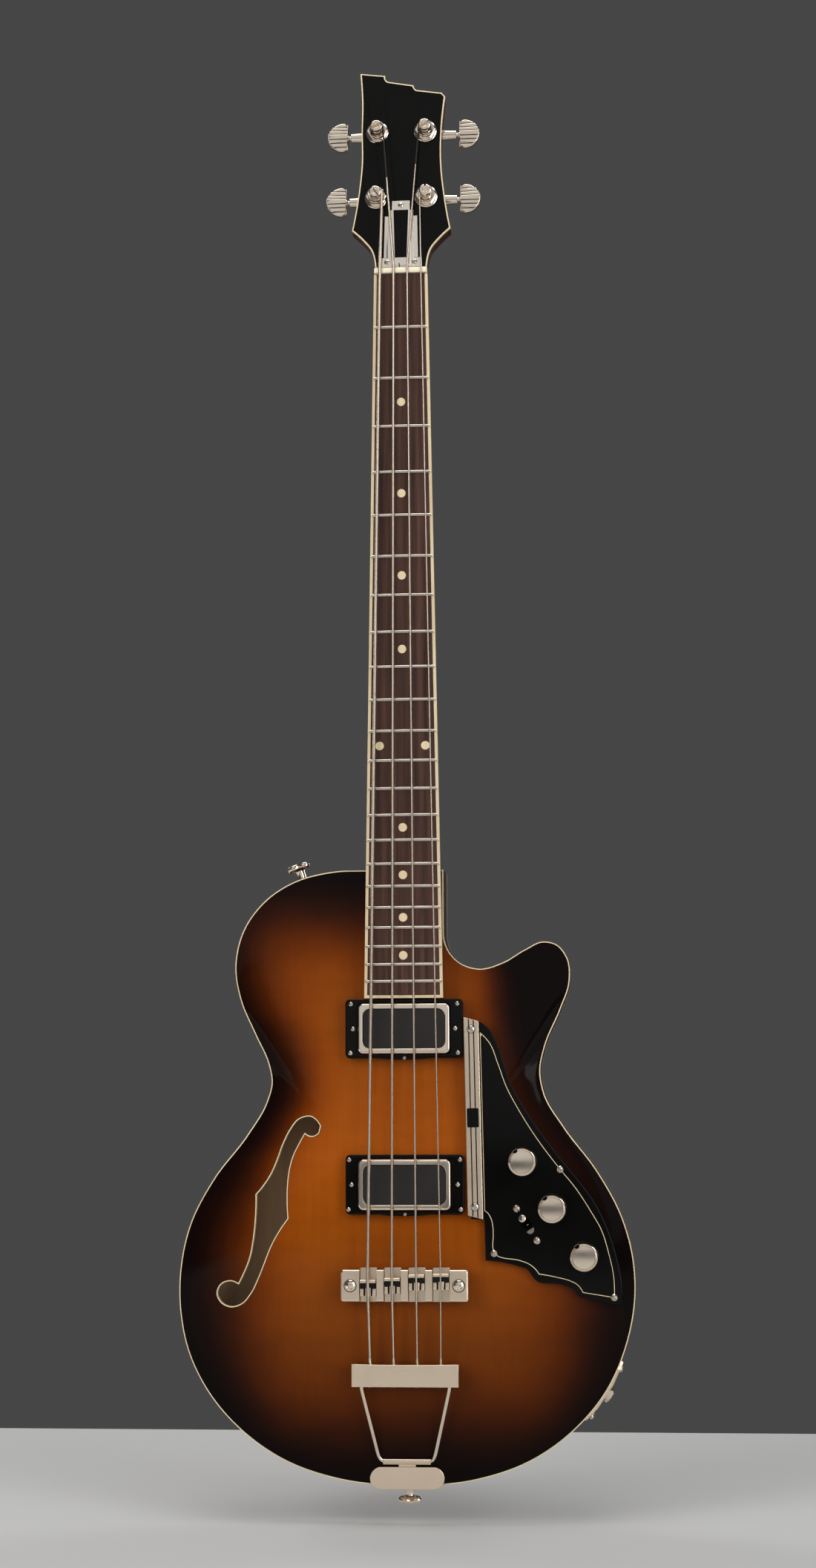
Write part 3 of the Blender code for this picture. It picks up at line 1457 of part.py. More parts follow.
def pickup(place_name, z):
    width, height = SURROUND_SIZE
    outer = rounded_box_loop(width, height, 0.0035, 2)
    inner = rounded_box_loop(COVER_SIZE[0] + 2 * SLIDING_GAP, COVER_SIZE[1] + 2 * SLIDING_GAP, COVER_CORNER, 2)
    deep_y = TOP_EDGE_Y - 0.002
    frame = at_front(0, deep_y, z)
    surround = plate(
        f"{place_name}_pickup_surround", outer, deep_y - SURROUND_FRONT_Y, black_plastic, frame, holes=[inner]
    )
    tab_size = (SURROUND_TAB[0], 2 * SURROUND_TAB[1], deep_y - SURROUND_FRONT_Y - 0.001)
    tab_frame = at_front(0, (deep_y + SURROUND_FRONT_Y) / 2, z - height / 2)
    join(surround, block(f"{place_name}_surround_tab", tab_size, None, tab_frame, cutters))
    cut(surround, top_clearance(f"{place_name}_surround_seat"))

    window = rounded_box_loop(*WINDOW_SIZE, 0.0060, 2)
    shell = rounded_box_loop(*COVER_SIZE, COVER_CORNER, 2)
    hollow = inset(shell, COVER_WALL)
    front = COVER_FRONT_Y
    profile = (
        (inset(shell, 0.0008), front),
        (window, front),
        (window, front + COVER_WALL),
        (hollow, front + COVER_WALL),
        (hollow, front + COVER_DEPTH),
        (shell, front + COVER_DEPTH),
        (shell, front + 0.0008),
    )
    middle = Matrix.Translation((0, 0, z))
    rings = [place(loop, y) for loop, y in profile]
    loft(f"{place_name}_pickup_cover", rings, nickel, closed=True, frame=middle)

    body = inset(hollow, CLEARANCE)
    face = inset(window, CLEARANCE)
    steps = (
        (face, front + 0.0002),
        (face, front + COVER_WALL + CLEARANCE),
        (body, front + COVER_WALL + CLEARANCE),
        (body, CORE_REAR_Y),
    )
    loft(f"{place_name}_pickup_core", [place(loop, y) for loop, y in steps], black_plastic, frame=middle)

    rout = rounded_box_loop(*ROUT_SIZE, 0.0050, 2)
    for target in (top, block_core):
        name = f"{place_name}_rout_{target.name}"
        cut(target, plate(name, rout, ROUT_REAR_Y, None, at_front(0, ROUT_REAR_Y, z), cutters))


for place_name, z in PICKUP_ZS.items():
    pickup(place_name, z)


# Pickguard on three standoffs, tilted to follow the fall of the top, with a strip along its edge
GUARD_THICKNESS = 0.0025
GUARD_TILT = math.radians(3.0)
GUARD_EDGE = (0.0500, 0.0050)
GUARD_RUNS = (
    ((0.0500, -0.5880), (0.0570, -0.5880)),
    (
        (0.0570, -0.5880),
        (0.0646, -0.5937),
        (0.0702, -0.6039),
        (0.0746, -0.6160),
        (0.0812, -0.6359),
        (0.0912, -0.6538),
        (0.1011, -0.6689),
        (0.1188, -0.6928),
        (0.1307, -0.7072),
        (0.1424, -0.7232),
        (0.1570, -0.7568),
        (0.1607, -0.7714),
        (0.1629, -0.7859),
        (0.1622, -0.8017),
    ),
    ((0.1622, -0.8017), (0.1307, -0.7947)),
    (
        (0.1307, -0.7947),
        (0.1238, -0.7876),
        (0.1169, -0.7854),
        (0.0980, -0.7822),
        (0.0950, -0.7783),
        (0.0921, -0.7745),
        (0.0861, -0.7723),
        (0.0607, -0.7679),
    ),
    ((0.0607, -0.7679), (0.0600, -0.7370)),
    ((0.0600, -0.7370), (0.0500, -0.7370)),
    ((0.0500, -0.7370), (0.0500, -0.5880)),
)
GUARD_SCREWS = ((0.0672, -0.7624), (0.1176, -0.6998), (0.1571, -0.7952))
STANDOFF_RADIUS = 0.0032
KNOB_PLACES = ((0.0894, -0.6938), (0.1114, -0.7288), (0.1350, -0.7646))
SHAFT_RADIUS = 0.0030
GUARD_HOLE_RADIUS = 0.0046
SWITCH_ENDS = ((0.0845, -0.7291), (0.0996, -0.7530))
SWITCH_SLOT = (0.0150, 0.0062)
STRIP_CORNERS = ((0.0454, -0.5847), (0.0570, -0.5879), (0.0595, -0.7369), (0.0478, -0.7340))
STRIP_FRONT_Y = 0.0022
STRIP_THICKNESS = 0.0025
GUARD_FRAME = (
    Matrix.Translation((GUARD_EDGE[0], GUARD_EDGE[1] + GUARD_THICKNESS, 0))
    @ Matrix.Rotation(GUARD_TILT, 4, "Z")
    @ FRONT
)

switch_middle = np.mean(SWITCH_ENDS, axis=0)
switch_run = np.subtract(*SWITCH_ENDS)
switch_heading = math.atan2(switch_run[1], switch_run[0])


def guard_front(x):
    return GUARD_EDGE[1] + (x - GUARD_EDGE[0]) * math.tan(GUARD_TILT)


def on_guard(loop):
    """A loop of real (x, z) places in the guard's own plane."""
    return np.stack([(loop[:, 0] - GUARD_EDGE[0]) / math.cos(GUARD_TILT), loop[:, 1]], axis=1)


def turned_loop(loop, heading, centre):
    spin = np.array([[math.cos(heading), math.sin(heading)], [-math.sin(heading), math.cos(heading)]])
    return loop @ spin + centre


def pickguard():
    holes = [on_guard(circle_loop(GUARD_HOLE_RADIUS, centre)) for centre in KNOB_PLACES]
    slot = rounded_box_loop(*SWITCH_SLOT, SWITCH_SLOT[1] * 0.49, 3)
    holes.append(on_guard(turned_loop(slot, switch_heading, switch_middle)))
    outline = on_guard(loop_of(GUARD_RUNS, chord=0.040, turn=math.radians(18)))
    made = plate("pickguard", outline, GUARD_THICKNESS, black_gloss, GUARD_FRAME, holes=holes)
    for index, (x, z) in enumerate(GUARD_SCREWS):
        ring = circle_loop(STANDOFF_RADIUS, (x, z), 6)
        foot = highest_top(ring) - SEAT_GAP
        head = guard_front(x) + GUARD_THICKNESS * 0.5
        frame = at_front(x, (foot + head) / 2, z)
        join(made, rod(f"standoff_{index}", STANDOFF_RADIUS, foot - head, None, frame, cutters, sides=8))
    strip_frame = at_front(0, STRIP_FRONT_Y + STRIP_THICKNESS, 0)
    plate("pickguard_strip", np.array(STRIP_CORNERS)[::-1], STRIP_THICKNESS, nickel, strip_frame)
    return made


pickguard()


# Knobs on shafts, which turn in the potentiometers under the top
KNOB_NAMES = ("knob_neck_volume", "knob_bridge_volume", "knob_tone")
KNOB_RADIUS = 0.0111
KNOB_HEIGHT = 0.0155
POT_RADIUS = 0.0120
POT_DEPTH = 0.0090
BUSHING_OUTER = 0.0042
POT_NUT_RADIUS = 0.0068
POT_NUT_HEIGHT = 0.0009
POT_FLOOR = 0.0012
SHAFT_DEPTH = 0.0250


def knob(name, x, z):
    """A domed knob and its shaft, turning about the shaft's axis."""
    rear = guard_front(x) - KNOB_RADIUS * math.tan(GUARD_TILT) - SLIDING_GAP
    r = KNOB_RADIUS
    h = KNOB_HEIGHT
    profile = (
        (0.0, h),
        (r * 0.50, h),
        (r * 0.74, h * 0.95),
        (r * 0.84, h * 0.84),
        (r * 0.88, h * 0.30),
        (r, h * 0.24),
        (r, 0.0),
        (SHAFT_RADIUS, 0.0),
        (SHAFT_RADIUS, -SHAFT_DEPTH + h),
        (0.0, -SHAFT_DEPTH + h),
    )
    return turned(name, profile, nickel, at_front(x, rear, z), 16)


def potentiometer(name, x, z):
    """A can against the top's inner face, with a bushing through the top and a nut over it."""
    around = [(x + POT_RADIUS * math.cos(a), z + POT_RADIUS * math.sin(a)) for a in np.arange(8) * math.pi / 4]
    inner = deepest_top([(x, z), *around]) + TOP_THICKNESS + SEAT_GAP
    nut_rear = highest_top([(x, z), *around]) - SEAT_GAP
    nut_front = nut_rear - POT_NUT_HEIGHT
    nut_face = nut_front - 0.0006
    can_end = inner + POT_DEPTH
    profile = (
        (0.0, -nut_face),
        (BUSHING_OUTER, -nut_face),
        (BUSHING_OUTER, -nut_front),
        (POT_NUT_RADIUS, -nut_front),
        (POT_NUT_RADIUS, -nut_rear),
        (BUSHING_OUTER, -nut_rear),
        (BUSHING_OUTER, -inner),
        (POT_RADIUS, -inner),
        (POT_RADIUS, -can_end),
        (0.0, -can_end),
    )
    made = turned(name, profile, steel, at_front(x, 0, z), 12)
    bore = SHAFT_RADIUS + RUNNING_GAP
    cut(made, rod(f"{name}_bore", bore, 2 * (can_end - POT_FLOOR), None, at_front(x, 0, z), cutters, sides=16))
    hole_frame = at_front(x, TOP_EDGE_Y, z)
    hole = rod(f"{name}_hole", BUSHING_OUTER + CLEARANCE, 0.06, None, hole_frame, cutters, sides=12)
    cut(top, hole)
    return made


for name, (x, z) in zip(KNOB_NAMES, KNOB_PLACES):
    knob(name, x, z)
    potentiometer(name.replace("knob", "potentiometer"), x, z)


# Pickup switch: a lever that swings in a slotted body through the guard
SWITCH_BODY = (0.0240, 0.0120, 0.0130)
LEVER_RADIUS = 0.0013
LEVER_TIP_RADIUS = 0.0027
LEVER_LENGTH = 0.0200
LEVER_PIVOT_DEPTH = 0.0115
LEVER_REST = math.radians(18.0)
LEVER_BALL = 0.0032


def switch_frame(y):
    """A frame at the switch's middle: Z forward, X along the slot towards its upper end."""
    x, z = switch_middle
    return at_front(x, y, z) @ Matrix.Rotation(switch_heading, 4, "Z")


def pickup_switch():
    x = switch_middle[0]
    front = guard_front(x) + GUARD_THICKNESS + SLIDING_GAP + 0.0012
    length, width, depth = SWITCH_BODY
    body = block("switch_body", (length, width, depth), black_plastic, switch_frame(front + depth / 2))
    pivot = guard_front(x) + LEVER_PIVOT_DEPTH
    trough = (SWITCH_SLOT[0], 2 * (LEVER_BALL + RUNNING_GAP), 2 * (pivot + LEVER_BALL + RUNNING_GAP - front))
    cut(body, block("switch_trough", trough, None, switch_frame(front), cutters))
    opening = (length + 2 * SLIDING_GAP, width + 2 * SLIDING_GAP, 0.08)
    cut(top, block("switch_opening", opening, None, switch_frame(TOP_EDGE_Y), cutters))
    r = LEVER_RADIUS
    tip = LEVER_TIP_RADIUS
    reach = LEVER_LENGTH
    ball = LEVER_BALL
    profile = (
        (0.0, reach),
        (tip * 0.7, reach - tip * 0.3),
        (tip, reach - tip),
        (tip * 0.7, reach - tip * 1.7),
        (r, reach - tip * 2.4),
        (r, ball * 0.92),
        (ball * 0.71, ball * 0.71),
        (ball, 0.0),
        (ball * 0.71, -ball * 0.71),
        (0.0, -ball),
    )
    frame = switch_frame(pivot) @ Matrix.Rotation(LEVER_REST, 4, "Y")
    return turned("switch_lever", profile, nickel, frame, 10)


pickup_switch()


# Strap buttons, the jack plate on the rim and the socket behind it
STRAP_STEM_RADIUS = 0.0037
STRAP_DISC_RADIUS = 0.0087
STRAP_DISC_THICKNESS = 0.0045
STRAP_STEM_LENGTH = 0.0085
STRAP_SCREW_RADIUS = 0.0018
STRAP_Y = 0.0420
UPPER_STRAP = body_point(UPPER, -0.627, 0.0075)
UPPER_STRAP_TURN = math.radians(19.0)
JACK_ENDS = (body_point(LOWER, 0.9305, 0.8034), body_point(LOWER, 0.7690, 0.8986))
JACK_WIDTH = 0.0280
JACK_THICKNESS = 0.0020
JACK_BORE_RADIUS = 0.0036
JACK_BARREL_RADIUS = 0.0050
JACK_RIM_HOLE_RADIUS = 0.0100
JACK_BODY_RADIUS = 0.0085
JACK_BODY_LENGTH = 0.0160


def rim_frame(x, z, heading, y=STRAP_Y):
    """A frame on the rim's outer face, straight out from a place inside, with its Z axis outwards."""
    reach = edge_radii(body_loop, [heading], np.array([x, z]))[0]
    out = np.array([math.cos(heading), math.sin(heading)])
    spot = np.array([x, z]) + out * reach
    turn = Matrix.Rotation(-heading, 4, "Y") @ Matrix.Rotation(math.pi / 2, 4, "Y")
    return Matrix.Translation((spot[0], y, spot[1])) @ turn


def strap_button(name, frame, seat, screw_length, targets):
    """A stem with a broad disc, on a screw that goes into what is behind it."""
    stem = seat + STRAP_STEM_LENGTH
    disc = stem + STRAP_DISC_THICKNESS
    profile = (
        (0.0, disc),
        (STRAP_DISC_RADIUS * 0.86, disc),
        (STRAP_DISC_RADIUS, disc - 0.0012),
        (STRAP_DISC_RADIUS, stem + 0.0008),
        (STRAP_DISC_RADIUS * 0.86, stem),
        (STRAP_STEM_RADIUS, stem - 0.0012),
        (STRAP_STEM_RADIUS, seat),
        (STRAP_SCREW_RADIUS, seat),
        (STRAP_SCREW_RADIUS, seat - screw_length),
        (0.0, seat - screw_length),
    )
    made = turned(name, profile, nickel, frame, 16)
    for target in targets:
        hole = rod(
            f"{name}_hole_{target.name}", STRAP_SCREW_RADIUS + CLEARANCE, 0.06, None, frame, cutters, sides=12
        )
        cut(target, hole)
    return made


def jack():
    ends = np.array(JACK_ENDS)
    run = ends[1] - ends[0]
    heading = math.atan2(run[0], -run[1])
    out = np.array([math.cos(heading), math.sin(heading)])
    start = ends.mean(axis=0) - out * 0.02
    frame = rim_frame(*start, heading)
    inner, outer = inset(body_loop, -SEAT_GAP), inset(body_loop, -SEAT_GAP - JACK_THICKNESS)
    low, high = STRAP_Y - JACK_WIDTH / 2, STRAP_Y + JACK_WIDTH / 2
    corners = ((outer, low), (inner, low), (inner, high), (outer, high))
    made = loft("jack_plate", [place(loop, y) for loop, y in corners], nickel, closed=True)
    window = rounded_box_loop(JACK_WIDTH * 0.98, np.hypot(*run), 0.0060, 2)
    window_frame = frame @ Matrix.Translation((0, 0, -0.015)) @ Matrix.Rotation(math.pi / 2, 4, "Z")
    combine(made, plate("jack_window", window, 0.04, None, window_frame, cutters), "INTERSECT")
    cut(made, rod("jack_plate_hole", JACK_BARREL_RADIUS + CLEARANCE, 0.03, None, frame, cutters, sides=16))
    cut(rim, rod("jack_rim_hole", JACK_RIM_HOLE_RADIUS, 0.03, None, frame, cutters, sides=16))
    face = JACK_THICKNESS + 2 * SEAT_GAP + 0.0010
    profile = (
        (0.0, face + 0.0030),
        (JACK_BARREL_RADIUS, face + 0.0030),
        (JACK_BARREL_RADIUS, face + 0.0022),
        (JACK_BARREL_RADIUS + 0.0020, face + 0.0022),
        (JACK_BARREL_RADIUS + 0.0020, face),
        (JACK_BARREL_RADIUS, face),
        (JACK_BARREL_RADIUS, -0.0012),
        (JACK_BODY_RADIUS, -0.0012),
        (JACK_BODY_RADIUS, -0.0012 - JACK_BODY_LENGTH),
        (0.0, -0.0012 - JACK_BODY_LENGTH),
    )
    socket = turned("jack_socket", profile, nickel, frame, 12)
    cut(socket, rod("jack_bore", JACK_BORE_RADIUS, 2 * JACK_BODY_LENGTH, None, frame, cutters, sides=24))
    return made, socket


lower_frame = Matrix.Translation((0, STRAP_Y, BODY_END_Z)) @ Matrix.Rotation(math.pi, 4, "X")
lower_seat = BRACKET_THICKNESS + 2 * SEAT_GAP
strap_button("strap_button_lower", lower_frame, lower_seat, 0.022, (tail_bracket, rim, block_core))
upper_heading = math.pi / 2 + UPPER_STRAP_TURN
upper_start = np.array(UPPER_STRAP) - 0.02 * np.array([math.cos(upper_heading), math.sin(upper_heading)])
upper_frame = rim_frame(*upper_start, upper_heading)
strap_button("strap_button_upper", upper_frame, SEAT_GAP + 0.0006, 0.014, (rim,))
jack()


# Every piece is shaded smooth, with its sharp edges kept
for made in list(parts.objects):
    smooth(made)
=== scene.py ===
import math

import bmesh
import bpy
import numpy as np
from mathutils import Matrix, Vector


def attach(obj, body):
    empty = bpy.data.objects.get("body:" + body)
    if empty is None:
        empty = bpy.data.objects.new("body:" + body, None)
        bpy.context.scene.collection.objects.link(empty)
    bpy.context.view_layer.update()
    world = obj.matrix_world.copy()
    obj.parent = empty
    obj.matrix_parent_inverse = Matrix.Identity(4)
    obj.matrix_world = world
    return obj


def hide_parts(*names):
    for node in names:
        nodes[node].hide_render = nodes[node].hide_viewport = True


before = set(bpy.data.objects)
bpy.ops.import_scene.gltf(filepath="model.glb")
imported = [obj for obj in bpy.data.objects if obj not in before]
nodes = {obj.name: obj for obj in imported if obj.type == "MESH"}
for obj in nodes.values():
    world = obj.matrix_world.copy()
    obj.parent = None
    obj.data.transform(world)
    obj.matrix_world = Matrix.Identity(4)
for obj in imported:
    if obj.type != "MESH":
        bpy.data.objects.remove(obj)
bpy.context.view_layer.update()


print("stage: frame loaded")


# Shapes: a shape is (points, faces), and several of them make one piece
def placed(shape, at):
    if at is None:
        return shape
    at = np.array(at)
    return shape[0] @ at[:3, :3].T + at[:3, 3], shape[1]


# Rings of equally many points, joined into a skin that closes on itself or has two caps
def ringShape(rings, at=None, closed=False):
    rings = np.asarray(rings, float)
    rows, cols = rings.shape[:2]
    i = np.arange(rows if closed else rows - 1)[:, None]
    j = np.arange(cols)[None]
    down, across = (i + 1) % rows, (j + 1) % cols
    quads = np.stack([i * cols + j, i * cols + across, down * cols + across, down * cols + j], -1)
    faces = quads.reshape(-1, 4).tolist()
    if not closed:
        faces += [list(range(cols)), list(range((rows - 1) * cols, rows * cols))[::-1]]
    return placed((rings.reshape(-1, 3), faces), at)


def merged(shapes):
    points, faces, start = [], [], 0
    for corners, polygons in shapes:
        points.append(corners)
        faces += [[index + start for index in polygon] for polygon in polygons]
        start += len(corners)
    return np.concatenate(points), faces


def rawObject(name, shape):
    mesh = bpy.data.meshes.new(name)
    mesh.from_pydata(shape[0].tolist(), [], shape[1])
    work = bmesh.new()
    work.from_mesh(mesh)
    bmesh.ops.recalc_face_normals(work, faces=work.faces)
    work.to_mesh(mesh)
    work.free()
    made = bpy.data.objects.new(name, mesh)
    bpy.context.scene.collection.objects.link(made)
    return made


# Cuts shapes out of a piece for good
def carve(obj, shapes, overlaps=False):
    tool = rawObject("carving", merged(shapes))
    step = obj.modifiers.new("carving", "BOOLEAN")
    step.operation, step.solver = "DIFFERENCE", "EXACT"
    step.object, step.use_self = tool, overlaps
    bpy.context.view_layer.update()
    result = bpy.data.meshes.new_from_object(obj.evaluated_get(bpy.context.evaluated_depsgraph_get()))
    obj.modifiers.clear()
    obj.data = result
    result.name = obj.name
    bpy.data.objects.remove(tool, do_unlink=True)


# Large flat faces shade flat, and only their rounded edges shade round
def smoothed(obj, sharp):
    obj.data.shade_smooth()
    obj.data.set_sharp_from_angle(angle=math.radians(sharp))
    obj.modifiers.new("flat faces", "WEIGHTED_NORMAL").keep_sharp = True


def piece(name, shapes, look, body="instrument", stands="", sharp=38, holes=()):
    made = rawObject(name, merged(shapes if isinstance(shapes, list) else [shapes]))
    if holes:
        carve(made, holes)
    made.data.materials.clear()
    made.data.materials.append(look)
    smoothed(made, sharp)
    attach(made, body)
    if stands:
        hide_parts(stands)
    return made


def shift(x, y, z):
    return Matrix.Translation((x, y, z))


def spun(angle, axis="Z"):
    return Matrix.Rotation(angle, 4, axis)


# Its third axis points forwards, out of the instrument's front
def atFront(x, y, z):
    return shift(x, y, z) @ spun(math.pi / 2, "X")


# Outlines
# p(t) = p0 (1 + 2t)(1 - t)^2 + p1 t^2 (3 - 2t) + chord (m0 t (1 - t)^2 - m1 t^2 (1 - t)).
def smoothRun(points, perSpan=24):
    points = np.array(points, float)
    if len(points) == 2:
        return points[0] + (points[1] - points[0]) * np.linspace(0, 1, 9)[:, None]
    steps = np.diff(points, axis=0)
    chords = np.linalg.norm(steps, axis=1)[:, None]
    slopes = steps / chords
    tangents = np.empty_like(points)
    tangents[1:-1] = (slopes[:-1] * chords[1:] + slopes[1:] * chords[:-1]) / (chords[:-1] + chords[1:])
    tangents[0] = 2 * slopes[0] - tangents[1]
    tangents[-1] = 2 * slopes[-1] - tangents[-2]
    t = np.linspace(0, 1, perSpan, endpoint=False)[None, :, None]
    leave = tangents[:-1, None] * t * (1 - t) ** 2
    arrive = tangents[1:, None] * t**2 * (1 - t)
    spans = points[:-1, None] * (1 + 2 * t) * (1 - t) ** 2 + points[1:, None] * t**2 * (3 - 2 * t)
    spans = spans + chords[:, None] * (leave - arrive)
    return np.concatenate([spans.reshape(-1, points.shape[1]), points[-1:]])


# Points along a dense curve, closer together where it bends
def evenly(curve, step, turn):
    steps = np.diff(curve, axis=0)
    headings = np.unwrap(np.arctan2(steps[:, 1], steps[:, 0]))
    bends = np.abs(np.diff(headings)) / (2 * turn)
    weight = np.linalg.norm(steps, axis=1) / step
    weight[1:] += bends
    weight[:-1] += bends
    travelled = np.concatenate([[0.0], np.cumsum(weight)])
    wanted = np.linspace(0, travelled[-1], max(1, round(travelled[-1])) + 1)
    return np.stack([np.interp(wanted, travelled, curve[:, axis]) for axis in (0, 1)], axis=1)


def anticlockwise(loop):
    following = np.roll(loop, -1, axis=0)
    area = np.sum(loop[:, 0] * following[:, 1] - loop[:, 1] * following[:, 0])
    return loop if area > 0 else loop[::-1]


# Each run of a closed outline starts where the one before it ends
def linked(runs):
    return [[runs[index - 1][-1], *run] for index, run in enumerate(runs)]


def loopOf(runs, step, degrees):
    turn = math.radians(degrees)
    return anticlockwise(np.concatenate([evenly(smoothRun(run), step, turn)[:-1] for run in runs]))


def inset(loop, distance):
    ahead = np.roll(loop, -1, axis=0) - loop
    ahead /= np.linalg.norm(ahead, axis=1)[:, None]
    inward = np.stack([-ahead[:, 1], ahead[:, 0]], axis=1)
    before = np.roll(inward, 1, axis=0)
    spread = 1 + np.sum(inward * before, axis=1)
    moved = loop + (inward + before) * (distance / np.maximum(spread, 0.35))[:, None]
    return unfolded(moved, loop, distance)


# Where an offset folds over itself, its points come too near the old loop, and move to the nearest good one
def unfolded(moved, loop, distance):
    ahead = np.roll(loop, -1, axis=0) - loop
    along = ((moved[:, None] - loop[None]) * ahead[None]).sum(axis=2) / (ahead**2).sum(axis=1)[None]
    nearest = loop[None] + ahead[None] * np.clip(along, 0, 1)[..., None]
    gap = np.linalg.norm(moved[:, None] - nearest, axis=2).min(axis=1)
    good = np.flatnonzero(gap > abs(distance) * 0.985 - 1e-7)
    if len(good) in (0, len(loop)):
        return moved
    steps = np.abs(np.arange(len(loop))[:, None] - good[None])
    steps = np.minimum(steps, len(loop) - steps)
    return moved[good[steps.argmin(axis=1)]]


def roundBox(width, height, radius, steps=8, centre=(0.0, 0.0)):
    quarters = [np.linspace(start, start + 90, steps + 1) for start in (-90, 0, 90, 180)]
    angles = np.radians(np.concatenate(quarters))
    side = np.repeat([1, 1, -1, -1], steps + 1)
    level = np.repeat([-1, 1, 1, -1], steps + 1)
    x = centre[0] + side * (width / 2 - radius) + radius * np.cos(angles)
    y = centre[1] + level * (height / 2 - radius) + radius * np.sin(angles)
    return np.stack([x, y], axis=1)


def circle(radius, centre=(0.0, 0.0), steps=32):
    angles = np.arange(steps) * 2 * math.pi / steps
    return np.stack([centre[0] + radius * np.cos(angles), centre[1] + radius * np.sin(angles)], axis=1)


# A flat loop at a height along the third axis, and a loop of (x, z) places at the depth y
def raised(loop, height):
    return np.column_stack([loop, np.broadcast_to(height, len(loop))])


def upright(loop, y):
    return np.column_stack([loop[:, 0], np.broadcast_to(y, len(loop)), loop[:, 1]])


# A quarter round as (way inwards, fall) pairs
def arc(radius, steps=4):
    angles = np.linspace(0, math.pi / 2, steps + 1)
    return [(radius * (1 - math.cos(a)), radius * (1 - math.sin(a))) for a in angles]


# A plate from its back at height 0 with a quarter-round front edge, and one at the back too if asked
def pad(at, loop, thickness, edge=0.0003, back=0.0, steps=3):
    rings = [raised(loop, 0.0)]
    if back:
        rings = [raised(inset(loop, way), height) for height, way in arc(back, steps)]
    rings += [raised(inset(loop, way), thickness - fall) for way, fall in arc(edge, steps)]
    return ringShape(rings, at)


def block(at, width, height, depth):
    return pad(at @ shift(0, 0, -depth / 2), roundBox(width, height, 0.0004, 2), depth, 0.0001)


def prism(loop, front=-0.01, rear=0.05):
    return ringShape([upright(loop, front), upright(loop, rear)])


# A box by its sides, with a small round along its front edges
def sideBox(x0, x1, front, rear, z0, z1, edge=0.0003):
    return pad(atFront(0, rear, 0), np.array([(x0, z0), (x1, z0), (x1, z1), (x0, z1)]), rear - front, edge)


# (radius, height) pairs turned about the third axis. A zero radius closes the end
def lathe(at, profile, steps=32):
    profile = np.array(profile, float)
    rings = np.empty((len(profile), steps, 3))
    rings[:, :, :2] = np.maximum(profile[:, 0], 1e-6)[:, None, None] * circle(1.0, steps=steps)[None]
    rings[:, :, 2] = profile[:, 1][:, None]
    return ringShape(rings, at)


# A round tube. Its sections turn with the path and never twist
def tube(path, radius, sides=20):
    heading = np.gradient(path, axis=0)
    heading /= np.linalg.norm(heading, axis=1)[:, None]
    across = np.empty_like(path)
    guess = np.array([0.0, 1.0, 0.0]) if abs(heading[0, 1]) < 0.9 else np.array([1.0, 0.0, 0.0])
    for index, direction in enumerate(heading):
        guess = guess - direction * guess.dot(direction)
        guess /= np.linalg.norm(guess)
        across[index] = guess
    other = np.cross(heading, across)
    angles = (np.arange(sides) * 2 * math.pi / sides)[None, :, None]
    spokes = across[:, None] * np.cos(angles) + other[:, None] * np.sin(angles)
    return ringShape(path[:, None] + np.broadcast_to(radius, len(path))[:, None, None] * spokes)


# A domed head: h(r) = height (1 - (r/R)^2.6), less a cross of two grooves
def screw(at, radius, height, spin):
    radii = np.array([0.0, 0.10, 0.2, 0.3, 0.38, 0.42, 0.5, 0.62, 0.75, 0.86, 0.94, 0.985, 1.0]) * radius
    angles = np.arange(48) * 2 * math.pi / 48
    x = radii[:, None] * np.cos(angles)[None]
    y = radii[:, None] * np.sin(angles)[None]
    level = height * (1 - (np.hypot(x, y) / radius) ** 2.6)
    u = x * math.cos(spin) + y * math.sin(spin)
    v = y * math.cos(spin) - x * math.sin(spin)
    groove = (np.minimum(np.abs(u), np.abs(v)) < radius * 0.13) & (np.hypot(x, y) < radius * 0.60)
    rings = np.stack([x, y, np.where(groove, level - height * 0.75, level)], axis=2)
    rings[0, :, :2] *= 0
    skirt = np.stack([x[-1], y[-1], np.full(48, -height * 0.6)], axis=1)
    return ringShape(np.concatenate([rings, skirt[None]]), at)


print("stage: helpers ready")


